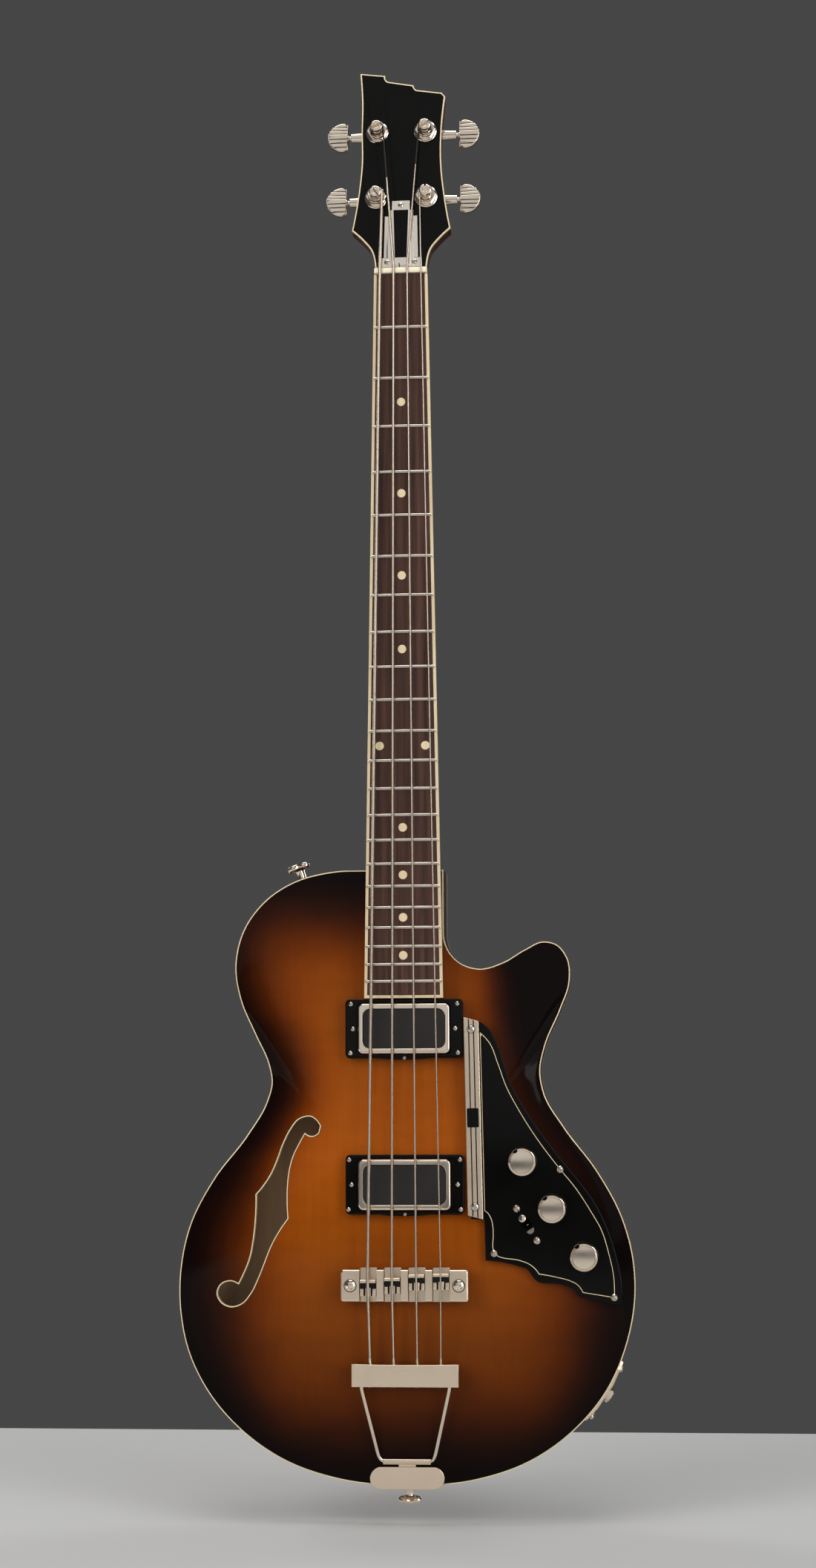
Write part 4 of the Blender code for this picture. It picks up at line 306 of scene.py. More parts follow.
# Materials, made of nodes on the object's own coordinates
class Look:

    def __init__(self, name, slot):
        self.made = bpy.data.materials.new(name)
        self.made.use_nodes = True
        self.made["slot"] = slot
        self.tree = self.made.node_tree
        self.shader = self.tree.nodes["Principled BSDF"]
        self.place = self.tree.nodes.new("ShaderNodeTexCoord").outputs["Object"]

    def add(self, kind, inputs=(), **settings):
        made = self.tree.nodes.new(f"ShaderNode{kind}")
        for key, value in settings.items():
            setattr(made, key, value)
        for key, value in dict(inputs).items():
            self.feed(made.inputs[key], value)
        return made

    def feed(self, socket, value):
        if isinstance(value, bpy.types.NodeSocket):
            self.tree.links.new(value, socket)
        else:
            socket.default_value = (*value, 1.0) if socket.type == "RGBA" else value

    def math(self, operation, *values):
        return self.add("Math", enumerate(values), operation=operation).outputs[0]

    def noise(self, scale, detail=3.0, rough=0.5, stretch=(1, 1, 1)):
        place = self.add("Mapping", {"Vector": self.place, "Scale": stretch}).outputs[0]
        inputs = {"Vector": place, "Scale": scale, "Detail": detail, "Roughness": rough}
        return self.add("TexNoise", inputs).outputs[0]

    def ramp(self, factor, stops):
        made = self.add("ValToRGB", {"Fac": factor})
        band = made.color_ramp
        while len(band.elements) < len(stops):
            band.elements.new(0.5)
        for element, (position, colour) in zip(band.elements, stops):
            element.position = position
            element.color = (*colour, 1.0)
        return made.outputs["Color"]

    def curve(self, factor, rows):
        made = self.add("FloatCurve", {"Value": factor})
        curve = made.mapping.curves[0]
        while len(curve.points) < len(rows):
            curve.points.new(0.5, 0.5)
        for point, spot in zip(curve.points, rows):
            point.location = spot
        made.mapping.update()
        return made.outputs[0]

    def span(self, value, low, high, out=(0.0, 1.0)):
        inputs = {"Value": value, "From Min": low, "From Max": high, "To Min": out[0], "To Max": out[1]}
        return self.add("MapRange", inputs).outputs[0]

    def mix(self, factor, first, second, blend="MIX"):
        inputs = {"Factor": factor, 6: first, 7: second}
        return self.add("Mix", inputs, data_type="RGBA", blend_type=blend).outputs[2]

    def axes(self):
        return self.add("SeparateXYZ", {0: self.place}).outputs

    def bump(self, height, strength, distance):
        made = self.add("Bump", {"Height": height, "Strength": strength, "Distance": distance})
        self.feed(self.shader.inputs["Normal"], made.outputs[0])

    def set(self, **values):
        for key, value in values.items():
            self.feed(self.shader.inputs[key.replace("_", " ")], value)
        return self.made


def plastic(name, slot, colour, worn, rough, coat=0.0, shine=0.5):
    look = Look(name, slot)
    patch = look.noise(26.4, 4.0)
    look.bump(look.noise(1980, 2.0), 0.06, 0.00005)
    return look.set(
        Base_Color=look.mix(look.span(patch, 0.35, 0.7), colour, worn),
        Roughness=look.span(patch, 0.3, 0.7, (rough * 0.8, rough * 1.25)),
        Coat_Weight=coat,
        Coat_Roughness=0.06,
        Specular_IOR_Level=shine,
    )


def metal(name, slot, colour, tint, rough):
    look = Look(name, slot)
    return look.set(
        Base_Color=look.mix(look.span(look.noise(60, 4.0), 0.5, 0.8), colour, tint),
        Metallic=1.0,
        Roughness=look.span(look.noise(40, 3.0), 0.3, 0.75, (rough * 0.85, rough * 1.2)),
    )


# The half width on each side and the brightness go by the share of the height above the lower end
burstSet = {
    "length": 0.4655,
    "end": -0.9360,
    "widest": 0.1750,
    "left": (
        (0.0, 0.0), (0.02, 0.42), (0.06, 0.66), (0.12, 0.84), (0.2, 0.955), (0.3, 1.0), (0.4, 0.97),
        (0.5, 0.83), (0.58, 0.67), (0.65, 0.592), (0.72, 0.66), (0.8, 0.81), (0.87, 0.84), (0.93, 0.79),
        (0.975, 0.60), (1.0, 0.3),
    ),
    "right": (
        (0.0, 0.0), (0.02, 0.42), (0.06, 0.66), (0.12, 0.84), (0.2, 0.955), (0.3, 0.995), (0.4, 0.95),
        (0.5, 0.83), (0.58, 0.67), (0.65, 0.57), (0.72, 0.53), (0.77, 0.52), (0.81, 0.51), (0.86, 0.46),
        (0.9, 0.28), (1.0, 0.12),
    ),
    "tones": (
        (0.0, 0.36), (0.11, 0.30), (0.22, 0.40), (0.37, 0.68), (0.53, 0.96), (0.65, 0.82), (0.78, 0.62),
        (1.0, 0.62),
    ),
    "topStops": (
        (0.0, (0.0034, 0.0013, 0.0011)), (0.08, (0.0046, 0.0015, 0.0011)), (0.19, (0.0100, 0.0022, 0.0011)),
        (0.31, (0.0270, 0.0055, 0.0014)), (0.42, (0.0620, 0.0112, 0.0013)), (0.53, (0.1200, 0.0220, 0.0013)),
        (0.67, (0.1950, 0.0380, 0.0015)), (0.82, (0.2500, 0.0520, 0.0020)), (1.0, (0.2800, 0.0620, 0.0030)),
    ),
    "backStops": (
        (0.0, (0.0050, 0.0026, 0.0020)), (0.2, (0.0130, 0.0040, 0.0026)), (0.45, (0.0600, 0.0110, 0.0030)),
        (0.75, (0.1500, 0.0300, 0.0040)), (1.0, (0.2200, 0.0500, 0.0060)),
    ),
}


# Colour by depth inside the outline: d = smin(W (1 - |x| / w(z)), z - end, start - z)
def burst(name, slot, band, stops, figure):
    look = Look(name, slot)
    x, _, z = look.axes()
    length, end, widest = burstSet["length"], burstSet["end"], burstSet["widest"]
    share = look.span(z, end, end + length)
    side = look.span(x, -0.004, 0.004)
    left = look.math("MULTIPLY", look.math("SUBTRACT", 1.0, side), look.curve(share, burstSet["left"]))
    right = look.math("MULTIPLY", side, look.curve(share, burstSet["right"]))
    width = look.math("MULTIPLY", look.math("ADD", right, left), widest)
    across = look.math("DIVIDE", look.math("ABSOLUTE", x), look.math("MAXIMUM", width, 0.01))
    depth = look.math("MULTIPLY", look.math("SUBTRACT", 1.0, across), widest)
    rise = look.math("MULTIPLY", share, length)
    fall = look.math("SUBTRACT", length, rise)
    inside = look.math("SMOOTH_MIN", depth, look.math("SMOOTH_MIN", rise, fall, 0.05), 0.05)
    inside = look.math("ADD", inside, look.span(look.noise(11, 3.0), 0.3, 0.7, (-0.004, 0.004)))
    flame = look.noise(26, 3.0, 0.6, (1.0, 1.0, 3.4))
    grain = look.noise(420, 4.0, 0.6, (1.0, 1.0, 0.045))
    wood = look.span(flame, 0.3, 0.7, (1 - figure, 1 + figure))
    shade = look.math("ADD", wood, look.span(grain, 0.3, 0.7, (-0.05, 0.05)))
    tones = look.ramp(share, [(at, (tone, tone, tone)) for at, tone in burstSet["tones"]])
    shade = look.math("MULTIPLY", shade, tones)
    shade = look.math("MULTIPLY", shade, 1.3)
    grey = look.add("CombineColor", {0: shade, 1: shade, 2: shade}).outputs[0]
    look.bump(grain, 0.03, 0.00005)
    return look.set(
        Base_Color=look.mix(1.0, look.ramp(look.span(inside, 0.0, band), stops), grey, "MULTIPLY"),
        Roughness=0.4,
        Specular_IOR_Level=0.02,
        Coat_Weight=0.14,
        Coat_Roughness=0.07,
        Coat_IOR=1.5,
    )


def darkWood(name, slot, colour, light, coat=1.0, scale=330):
    look = Look(name, slot)
    grain = look.noise(scale, 5.0, 0.65, (1.0, 1.0, 0.03))
    cloud = look.noise(14, 3.0, 0.5, (1.0, 1.0, 0.3))
    tone = look.mix(look.span(grain, 0.34, 0.68), colour, light)
    tone = look.mix(look.span(cloud, 0.35, 0.75, (0.0, 0.45)), tone, [c * 0.45 for c in colour])
    look.bump(grain, 0.05 if coat else 0.35, 0.00010)
    return look.set(
        Base_Color=tone,
        Roughness=0.4 if coat else 0.52,
        Coat_Weight=coat * 0.2,
        Coat_Roughness=0.04,
        Specular_IOR_Level=0.05 if coat else 0.3,
    )


# Windings: h(z) = sin(2 pi z / pitch), so the string shines in fine rings. Above the silk's start it is dark
def woundLook(name, silkStart, pitch=0.00042):
    look = Look(name, "wound_steel")
    z = look.axes()[2]
    wave = look.math("SINE", look.math("MULTIPLY", z, 2 * math.pi / pitch))
    silk = look.math("GREATER_THAN", z, silkStart)
    look.bump(wave, 0.55, pitch * 0.25)
    # Painted shade and highlight: the colour is darker in the grooves between windings and lighter on their
    # crests, for the steel and the silk alike
    steelWindingShade = look.mix(look.span(wave, -1.0, 0.2), (0.40, 0.34, 0.28), (0.80, 0.69, 0.57))
    silkWindingShade = look.mix(look.span(wave, -1.0, 1.0), (0.010, 0.006, 0.006), (0.030, 0.018, 0.016))
    return look.set(
        Base_Color=look.mix(silk, steelWindingShade, silkWindingShade),
        Metallic=look.math("SUBTRACT", 1.0, silk),
        Roughness=look.span(silk, 0.0, 1.0, (0.27, 0.75)),
    )


topLook = burst("spruce_burst", "sunburst_top", 0.098, burstSet["topStops"], 0.06)
backLook = burst("maple_burst", "maple", 0.105, burstSet["backStops"], 0.16)
rimLook = darkWood("rim_maple", "maple", (0.020, 0.0060, 0.004), (0.042, 0.011, 0.006))
neckLook = darkWood("neck_stain", "neck_wood", (0.030, 0.008, 0.004), (0.060, 0.016, 0.008))
boardLook = darkWood("rosewood_board", "rosewood", (0.030, 0.0125, 0.0085), (0.105, 0.047, 0.032), 0.0, 260)
# The inner wood is bare wood made paler, so that the shaded inside of the body reads as lit: painted light
paintedLightInnerLook = darkWood("bare_wood_painted_light", "inner_wood", (0.88, 0.56, 0.30), (0.95, 0.66, 0.38), 0.0, 160)
creamLook = plastic("cream_binding", "cream", (0.80, 0.66, 0.42), (0.70, 0.55, 0.33), 0.28, 0.4)
boneLook = plastic("bone", "bone", (0.83, 0.76, 0.58), (0.76, 0.68, 0.49), 0.34)
blackTones = (0.0026, 0.0024, 0.0022), (0.0036, 0.0033, 0.0031)
satinTones = (0.0060, 0.0057, 0.0054), (0.0085, 0.0081, 0.0077)
coilTones = (0.0175, 0.0150, 0.0138), (0.0225, 0.0195, 0.0180)
blackLook = plastic("gloss_black", "black_gloss", *blackTones, 0.10, shine=0.12)
satinLook = plastic("satin_black", "black_plastic", *satinTones, 0.26, shine=0.25)
coilLook = plastic("coil_face", "black_plastic", *coilTones, 0.3, shine=0.3)
nickelLook = metal("aged_nickel", "nickel", (0.91, 0.79, 0.65), (0.84, 0.71, 0.56), 0.13)
satinNickelLook = metal("satin_nickel", "nickel", (0.92, 0.76, 0.59), (0.87, 0.71, 0.54), 0.24)
coverLook = metal("cover_nickel", "nickel", (1.0, 0.92, 0.82), (0.97, 0.88, 0.76), 0.2)
# Painted shade: a darker copy of the nickel, for the floors of the bridge's pockets
paintedShadeNickelLook = metal("painted_shade_nickel", "nickel", (0.76, 0.63, 0.49), (0.68, 0.56, 0.43), 0.32)
steelLook = metal("steel", "steel", (0.68, 0.61, 0.53), (0.58, 0.51, 0.43), 0.22)
silkStarts = {"e": 9.0, "a": 0.0797, "d": 0.0904, "g": 9.0}
stringLook = woundLook("wound_string", 9.0)
silkLooks = {string: woundLook(f"silk_ended_string_{string}", silkStarts[string]) for string in "ad"}
print("stage: materials ready")


# Body. The arch is y = edge - arch (1 - s^4)^1.5, where s is the share of the way out to the edge
bodySet = {
    "shoulder": -0.4705,
    "length": 0.4655,
    "centre": 0.5790,
    "lower": 0.1740,
    "waist": 0.1034,
    "upper": 0.1324,
    "horn": 0.1262,
    "heel": 0.0295,
    "topEdge": 0.0200,
    "depth": 0.0440,
    "topThick": 0.0045,
    "backThick": 0.0040,
    "topArch": 0.0090,
    "backArch": 0.0070,
    "lining": 0.0005,
    "kerf": (0.0090, 0.0030, 0.013),
    "binding": 0.0008,
    "bindingRound": 0.0003,
    "lip": 0.0008,
    "smoothing": math.radians(40),
    "neckPocket": (0.0386, 0.0700, -0.0253),
    "pickupHole": (0.0730, 0.0410, 0.0050),
    "potHole": 0.0045,
    "switchRoom": 0.0012,
    "studHole": (0.00465, 0.0410, -0.7850),
    # Shares of a half width and of the length below the shoulder
    "outline": (
        (
            "upper", (-0.36, 0.0), (-0.47, 0.0035), (-0.65, 0.0175), (-0.82, 0.0480), (-0.95, 0.0970),
            (-1.00, 0.1610), (-0.967, 0.2150), (-0.88, 0.2720),
        ),
        ("waist", (-1.027, 0.3210), (-1.004, 0.3510), (-1.040, 0.3820), (-1.181, 0.4350)),
        (
            "lower", (-0.853, 0.5080), (-0.955, 0.5800), (-1.002, 0.6650), (-1.000, 0.7200), (-0.960, 0.7900),
            (-0.866, 0.8570), (-0.730, 0.9130), (-0.544, 0.9600), (-0.299, 0.9905), (0.000, 1.0000),
            (0.299, 0.9900), (0.543, 0.9580), (0.727, 0.9090), (0.862, 0.8500), (0.956, 0.7720),
            (0.994, 0.6970), (0.987, 0.6350), (0.939, 0.5680), (0.836, 0.4960),
        ),
        ("waist", (1.165, 0.4240), (1.025, 0.3710), (0.996, 0.3340)),
        (
            "horn", (0.850, 0.2900), (0.939, 0.2350), (1.000, 0.1860), (0.987, 0.1480), (0.923, 0.1260),
            (0.840, 0.1210), (0.729, 0.1340), (0.594, 0.1550), (0.452, 0.1650), (0.333, 0.1550),
            (0.262, 0.1340),
        ),
        ("heel", (1.0, 0.1040)),
    ),
    "soundHole": (
        (
            (-0.0731, -0.6590), (-0.0822, -0.6612), (-0.0890, -0.6693), (-0.0946, -0.6803),
            (-0.0991, -0.6926), (-0.1036, -0.7027), (-0.1093, -0.7115), (-0.1153, -0.7185),
        ),
        ((-0.1159, -0.7402), (-0.1172, -0.7520), (-0.1205, -0.7679), (-0.1250, -0.7787), (-0.1284, -0.7855)),
        (
            (-0.1344, -0.7834), (-0.1426, -0.7864), (-0.1455, -0.7932), (-0.1426, -0.7999),
            (-0.1344, -0.8038), (-0.1250, -0.8010), (-0.1182, -0.7932), (-0.1125, -0.7820),
            (-0.1080, -0.7709), (-0.1023, -0.7570), (-0.0966, -0.7469), (-0.0895, -0.7369),
        ),
        (
            (-0.0903, -0.7223), (-0.0900, -0.7115), (-0.0889, -0.7016), (-0.0856, -0.6893),
            (-0.0811, -0.6803), (-0.0771, -0.6732),
        ),
        ((-0.0716, -0.6752), (-0.0660, -0.6724)),
        ((-0.0645, -0.6668),),
    ),
}
gap, seatGap = 0.0003, 0.00035
shoulder, topEdge, topThick = bodySet["shoulder"], bodySet["topEdge"], bodySet["topThick"]
topArch, backArch = bodySet["topArch"], bodySet["backArch"]
backEdge = topEdge + bodySet["depth"]
backInner = backEdge - bodySet["backThick"]
outline = [
    (bodySet[half] * across, shoulder - bodySet["length"] * along)
    for half, *rows in bodySet["outline"]
    for across, along in rows
]
heelTop = (bodySet["heel"], shoulder)
bodyLoop = loopOf(([heelTop, outline[0]], outline, [outline[-1], heelTop]), 0.0035, 4)
plateLoop = inset(bodyLoop, bodySet["binding"] + gap)
centre = np.array((0.0, shoulder - bodySet["length"] * bodySet["centre"]))


# How far it is from a place to the loop along each heading
def reachOf(loop, place, headings):
    starts = loop - place
    sides = np.roll(starts, -1, axis=0) - starts
    rays = np.stack([np.cos(headings), np.sin(headings)], axis=1)
    turn = rays[:, :1] * sides[None, :, 1] - rays[:, 1:] * sides[None, :, 0]
    turn = np.where(np.abs(turn) < 1e-12, 1e-12, turn)
    alongRay = (starts[:, 0] * sides[:, 1] - starts[:, 1] * sides[:, 0])[None] / turn
    alongSide = (starts[None, :, 0] * rays[:, 1:] - starts[None, :, 1] * rays[:, :1]) / turn
    hit = (alongRay > 0) & (alongSide >= -1e-9) & (alongSide <= 1 + 1e-9)
    return np.where(hit, alongRay, 9.0).min(axis=1)


archAngles = np.radians(np.arange(360))
plateRadii = reachOf(plateLoop, centre, archAngles)
turns = np.angle(np.exp(1j * (archAngles[:, None] - archAngles[None, :])))
weights = np.exp(-0.5 * (turns / bodySet["smoothing"]) ** 2)
softRadii = weights @ plateRadii / weights.sum(axis=1)


# r(s) = s (edge s^2 + soft (1 - s^2)), so the rings grow smoother towards the middle
def archRadius(share, angles, edge=None):
    angles = np.mod(angles, 2 * math.pi)
    soft = np.interp(angles, archAngles, softRadii, period=2 * math.pi)
    edge = np.interp(angles, archAngles, plateRadii, period=2 * math.pi) if edge is None else edge
    return share * (edge * share**2 + soft * (1 - share**2))


# The share s of a place, by halving the stretch that it lies in
def shareOf(x, z):
    offset = np.stack(np.broadcast_arrays(x, z), axis=-1) - centre
    radius = np.hypot(offset[..., 0], offset[..., 1])
    angle = np.arctan2(offset[..., 1], offset[..., 0])
    low, high = np.zeros_like(radius), np.ones_like(radius)
    for _ in range(26):
        middle = (low + high) / 2
        small = archRadius(middle, angle) < radius
        low, high = np.where(small, middle, low), np.where(small, high, middle)
    return low


def rise(share):
    return (1 - share**4) ** 1.5


def topY(x, z):
    return topEdge - topArch * rise(shareOf(x, z))


# The frontmost depth of the top under some places at one height
def topUnder(xs, z):
    return float(topY(np.array(xs, float), np.full(len(xs), z)).min())


def archRings(edgeY, arch, shares):
    offset = plateLoop - centre
    radii = np.hypot(offset[:, 0], offset[:, 1])
    angles = np.arctan2(offset[:, 1], offset[:, 0])
    rings = []
    for share in shares:
        reach = archRadius(share, angles, radii) / radii
        rings.append(upright(centre + offset * reach[:, None], edgeY + arch * rise(share)))
    return rings


def archShape(front, back, arch):
    fine = 1 - np.linspace(0, 0.985, 44) ** 1.15
    return ringShape(archRings(front, arch, fine)[::-1] + archRings(back, arch, fine[::2]))


soundHole = loopOf(linked(bodySet["soundHole"]), 0.0025, 9)
knobPlaces = {"neck_volume": (0.0894, -0.6938), "bridge_volume": (0.1114, -0.7288), "tone": (0.1350, -0.7646)}
pickupPlaces = {"neck": -0.5932, "bridge": -0.7110}
switchPlace = {"ends": ((0.0845, -0.7291), (0.0996, -0.7530)), "body": (0.0240, 0.0120)}
switchMiddle = np.mean(switchPlace["ends"], axis=0)
switchRun = np.subtract(*switchPlace["ends"])
switchHeading = math.atan2(switchRun[1], switchRun[0])


def onSwitch(y):
    return atFront(switchMiddle[0], y, switchMiddle[1]) @ spun(switchHeading)


pocketWide, pocketHigh, pocketDown = bodySet["neckPocket"]
pocketLoop = roundBox(pocketWide, pocketHigh, 0.0004, 1, (0, shoulder + pocketDown))
pickupWide, pickupHigh, pickupCorner = bodySet["pickupHole"]
topHoles = [prism(inset(soundHole, -gap))]
topHoles += [prism(roundBox(pickupWide, pickupHigh, pickupCorner, 4, (0, z))) for z in pickupPlaces.values()]
topHoles += [prism(circle(bodySet["potHole"], place, 20)) for place in knobPlaces.values()]
topHoles.append(block(onSwitch(0.02), *[side + bodySet["switchRoom"] for side in switchPlace["body"]], 0.08))
topHoles.append(prism(pocketLoop))
studHole, studX, studZ = bodySet["studHole"]
topHoles += [prism(circle(studHole, (side * studX, studZ), 20)) for side in (-1, 1)]
top = archShape(topEdge, topEdge + topThick, -topArch)
piece("arched_top", top, topLook, stands="body_top", sharp=50, holes=topHoles)
piece("arched_back", archShape(backInner, backEdge, backArch), backLook, stands="body_back", sharp=50)
liningDepth = backInner - 0.0002
lining = archShape(liningDepth - bodySet["lining"], liningDepth, backArch)
piece("back_lining", lining, paintedLightInnerLook, sharp=50)


# A closed band that follows the outline: (distance inwards, y) pairs
def bandShape(loop, profile):
    return ringShape([upright(inset(loop, depth), y) for depth, y in profile], closed=True)


rimFront, rimRear = topEdge + topThick + gap, backInner - gap
kerfWide, wall, kerfHigh = bodySet["kerf"]
rimBand = [(0.0, rimFront), (kerfWide, rimFront), (wall, rimFront + kerfHigh)]
rimBand += [(wall, rimRear - kerfHigh), (kerfWide, rimRear), (0.0, rimRear)]
rimHoles = [prism(pocketLoop, rear=0.0453)]
piece("bent_rim", bandShape(bodyLoop, rimBand), rimLook, stands="body_rim", holes=rimHoles)
soft = bodySet["bindingRound"]
roundTurns = np.radians([0, 25, 50, 75, 90])
for name, node, low, high, sign in (
    ("front_binding", "top_binding", topEdge, topEdge + topThick, 1),
    ("rear_binding", "back_binding", backEdge, backInner, -1),
):
    band = [(bodySet["binding"], low), (bodySet["binding"], high), (0.0, high)]
    band += [(soft * (1 - math.cos(a)), low + sign * soft * (1 - math.sin(a))) for a in roundTurns]
    piece(name, bandShape(bodyLoop, band), creamLook, stands=node, holes=rimHoles if sign > 0 else ())
lip = bodySet["lip"]
innerLoop = inset(soundHole, lip)
outerY, innerY = (topY(loop[:, 0], loop[:, 1]) for loop in (soundHole, innerLoop))
lipRings = [
    upright(soundHole, outerY),
    upright(inset(soundHole, 0.0001), outerY - 0.00012),
    upright(inset(soundHole, lip * 0.5), (outerY + innerY) / 2 - 0.00018),
    upright(inset(soundHole, lip - 0.00015), innerY - 0.00010),
    upright(innerLoop, innerY + 0.0001),
    upright(innerLoop, innerY + topThick),
    upright(soundHole, outerY + topThick),
]
piece("sound_hole_lip", ringShape(lipRings, closed=True), creamLook, stands="f_hole_binding")
print("stage: body")


# Neck, fingerboard and frets
neckSet = {
    "nutWidth": 0.0422,
    "endWidth": 0.0603,
    "board": 0.5700,
    "boardThick": 0.0062,
    "radius": 0.305,
    "binding": 0.0022,
    "depthNut": 0.0150,
    "depthHeel": 0.0172,
    "heelLength": 0.0420,
    "heelDepth": 0.0500,
    "heelShares": (0.12, 0.24, 0.35, 0.46, 0.56, 0.65, 0.73, 0.8, 0.86, 0.91, 0.95, 0.98, 1.0),
    "scale": 0.7747,
    "nut": 0.0050,
    "frets": 22,
    "fretHeight": 0.0011,
    "fretWidth": 0.0024,
    "dot": 0.0033,
    "dots": ((3, 0), (5, 0), (7, 0), (9, 0), (12, -0.0177), (12, 0.0177), (15, 0), (17, 0), (19, 0), (21, 0)),
    "sideDot": 0.0010,
    "sideDots": (*((number, 0) for number in (3, 5, 7, 9, 15, 17, 19, 21)), (12, -0.004), (12, 0.004)),
    "tongue": (-0.49, -0.52, -0.55),
    # Share of the radius, and the height
    "dotDome": ((0, 0.00007), (0.7, 0.00006), (1, 0.00003), (1, -0.001), (0, -0.001)),
    "sideDome": ((0, 0.00005), (1, 0.00003), (1, -0.0005), (0, -0.0005)),
}
headSet = {
    "tilt": math.radians(5.0),
    "faceY": 0.0035,
    "thick": 0.0150,
    "veneer": 0.0020,
    "binding": 0.0010,
    "lower": 0.03925,
    "waist": 0.0318,
    "top": 0.0350,
    "length": 0.1738,
    "step": 0.0052,
    "start": 0.0056,
}
tunerPlaces = {"e": (-0.0199, 0.0657), "a": (-0.0192, 0.1217), "d": (0.0192, 0.1217), "g": (0.0199, 0.0657)}
scale, nutWidth = neckSet["scale"], neckSet["nutWidth"]
boardLong, boardThick = neckSet["board"], neckSet["boardThick"]


def fretZ(number):
    return -scale * (1 - 2 ** (-np.asarray(number) / 12))


# Halfway between a fret and the one before it
def betweenFrets(number):
    return float((fretZ(number) + fretZ(number - 1)) / 2)


def camber(x):
    return neckSet["radius"] - np.sqrt(neckSet["radius"] ** 2 - np.asarray(x) ** 2)


def boardHalf(z):
    return (nutWidth + (neckSet["endWidth"] - nutWidth) * np.clip(-np.asarray(z) / boardLong, 0, 1)) / 2


# A flat front and a superellipse behind: x = a cos(t)^(2/n), y = d sin(t)^(2/n)
def neckSection(z, half, front, depth, fullness, points=41):
    angles = np.linspace(0, math.pi, points)
    x = half * np.sign(np.cos(angles)) * np.abs(np.cos(angles)) ** (2 / fullness)
    y = front + depth * np.sin(angles) ** (2 / fullness)
    return np.stack([x, y, np.full(points, z)], axis=1)


seat = boardThick + gap
heelEnd = shoulder + gap
heelStart = heelEnd + neckSet["heelLength"]
depthNut, depthHeel, heelDepth = neckSet["depthNut"], neckSet["depthHeel"], neckSet["heelDepth"]
veneer = headSet["veneer"]
core = headSet["faceY"] + veneer + 0.004
sections = [
    neckSection(0.034, headSet["waist"] * 0.55, core + 0.002, 0.0090, 2.0),
    neckSection(0.026, headSet["waist"] * 0.60, core + 0.001, 0.0100, 2.05),
    neckSection(0.018, nutWidth * 0.48, core, 0.0110, 2.1),
    neckSection(0.011, nutWidth * 0.488, core - 0.001, 0.0130, 2.15),
    neckSection(headSet["start"], nutWidth * 0.495, seat, depthNut, 2.2),
]
for share in np.linspace(0, 1, 12):
    z = share * heelStart
    sections.append(neckSection(z, boardHalf(z), seat, depthNut + (depthHeel - depthNut) * share, 2.2))
for share in neckSet["heelShares"]:
    z = heelStart - neckSet["heelLength"] * share
    depth = depthHeel + (heelDepth - depthHeel) * (1 - math.sqrt(1 - share**2))
    sections.append(neckSection(z, boardHalf(z), seat, depth, 2.2 + share))


# A frame on the headstock's tilted face
def onHead(x, v, forward=0.0):
    return shift(0, headSet["faceY"], 0) @ spun(math.pi / 2 - headSet["tilt"], "X") @ shift(x, v, forward)


def headRuns():
    low, length, step, top, waist, start = (
        headSet[key] for key in ("lower", "length", "step", "top", "waist", "start")
    )
    foot = boardHalf(0) - 0.0007
    side = [(foot, start), (low * 0.53, length * 0.060), (low * 0.60, length * 0.122)]
    side += [(low * 0.77, length * 0.172), (low, length * 0.222)]
    upper = [(low * 0.880, length * 0.385), (waist, length * 0.552), (waist * 1.01, length * 0.700)]
    right = length - 4 * step
    across = top * 0.34
    level = right + step * 0.55
    steps = (
        [(top * 0.92, right + step * 0.35)],
        [(across, level + step * 0.4)],
        [(across * 0.87, level + step * 0.7), (across * 0.80, level + step * 1.2)],
        [(-across * 0.93, length - step * 1.5)],
        [(-across * 1.07, length - step * 1.2), (-across * 1.12, length - step * 0.5)],
        [(-top * 0.955, length)],
    )
    left = [side[-1], *upper, (top * 0.91, length * 0.855), (top * 0.955, length)]
    flipped = [[(-x, v) for x, v in run[::-1]][1:] for run in (left, side)]
    return linked((side[1:], [*upper, (top, right - step * 0.3)], *steps, *flipped, [side[0]]))


headLoop = loopOf(headRuns(), 0.004, 7)
bushings = [lathe(onHead(*place), [(0.0065, 0.03), (0.0065, -0.03)], 24) for place in tunerPlaces.values()]
headBack = -headSet["thick"]
coreShape = pad(onHead(0, 0, headBack), headLoop, headSet["thick"] - veneer - gap, 0.0001, 0.0022, 5)
tongueRings = []
for z in (heelEnd + 0.004, *neckSet["tongue"], 0.002 - boardLong):
    half = boardHalf(z) - 0.0004
    under = topUnder([half], z) - 0.0005, topUnder([-half], z) - 0.0005
    foot = np.maximum(under, seat + 0.001) if z < shoulder else (0.0125, 0.0125)
    tongueRings.append([(-half, seat, z), (half, seat, z), (half, foot[0], z), (-half, foot[1], z)])
piece("neck_shaft", [ringShape(sections), coreShape, ringShape(tongueRings)], neckLook, stands="neck")
faceFrame = onHead(0, 0, -veneer)
face = pad(faceFrame, inset(headLoop, headSet["binding"] + 0.0001), veneer - 0.00005, 0.0001)
piece("headstock_face", face, blackLook, stands="headstock_veneer", holes=bushings)
headBand = [(0.0, 0.0), (0.0, veneer - 0.0005), (0.00015, veneer - 0.00015), (0.0005, veneer)]
headBand += [(headSet["binding"], veneer), (headSet["binding"], 0.0)]
bandRings = [raised(inset(headLoop, depth), height) for depth, height in headBand]
piece("headstock_edge", ringShape(bandRings, faceFrame, closed=True), creamLook, stands="headstock_binding")
boardRings = []
for z in np.linspace(-gap, neckSet["binding"] + gap - boardLong, 30):
    x = (boardHalf(z) - neckSet["binding"] - 0.0001) * np.linspace(-1, 1, 25)
    front = np.stack([x, camber(x), np.full(25, z)], axis=1)
    boardRings.append(np.concatenate([front, [(x[-1], boardThick, z), (x[0], boardThick, z)]]))
piece("fingerboard_wood", ringShape(boardRings), boardLook, stands="fingerboard")


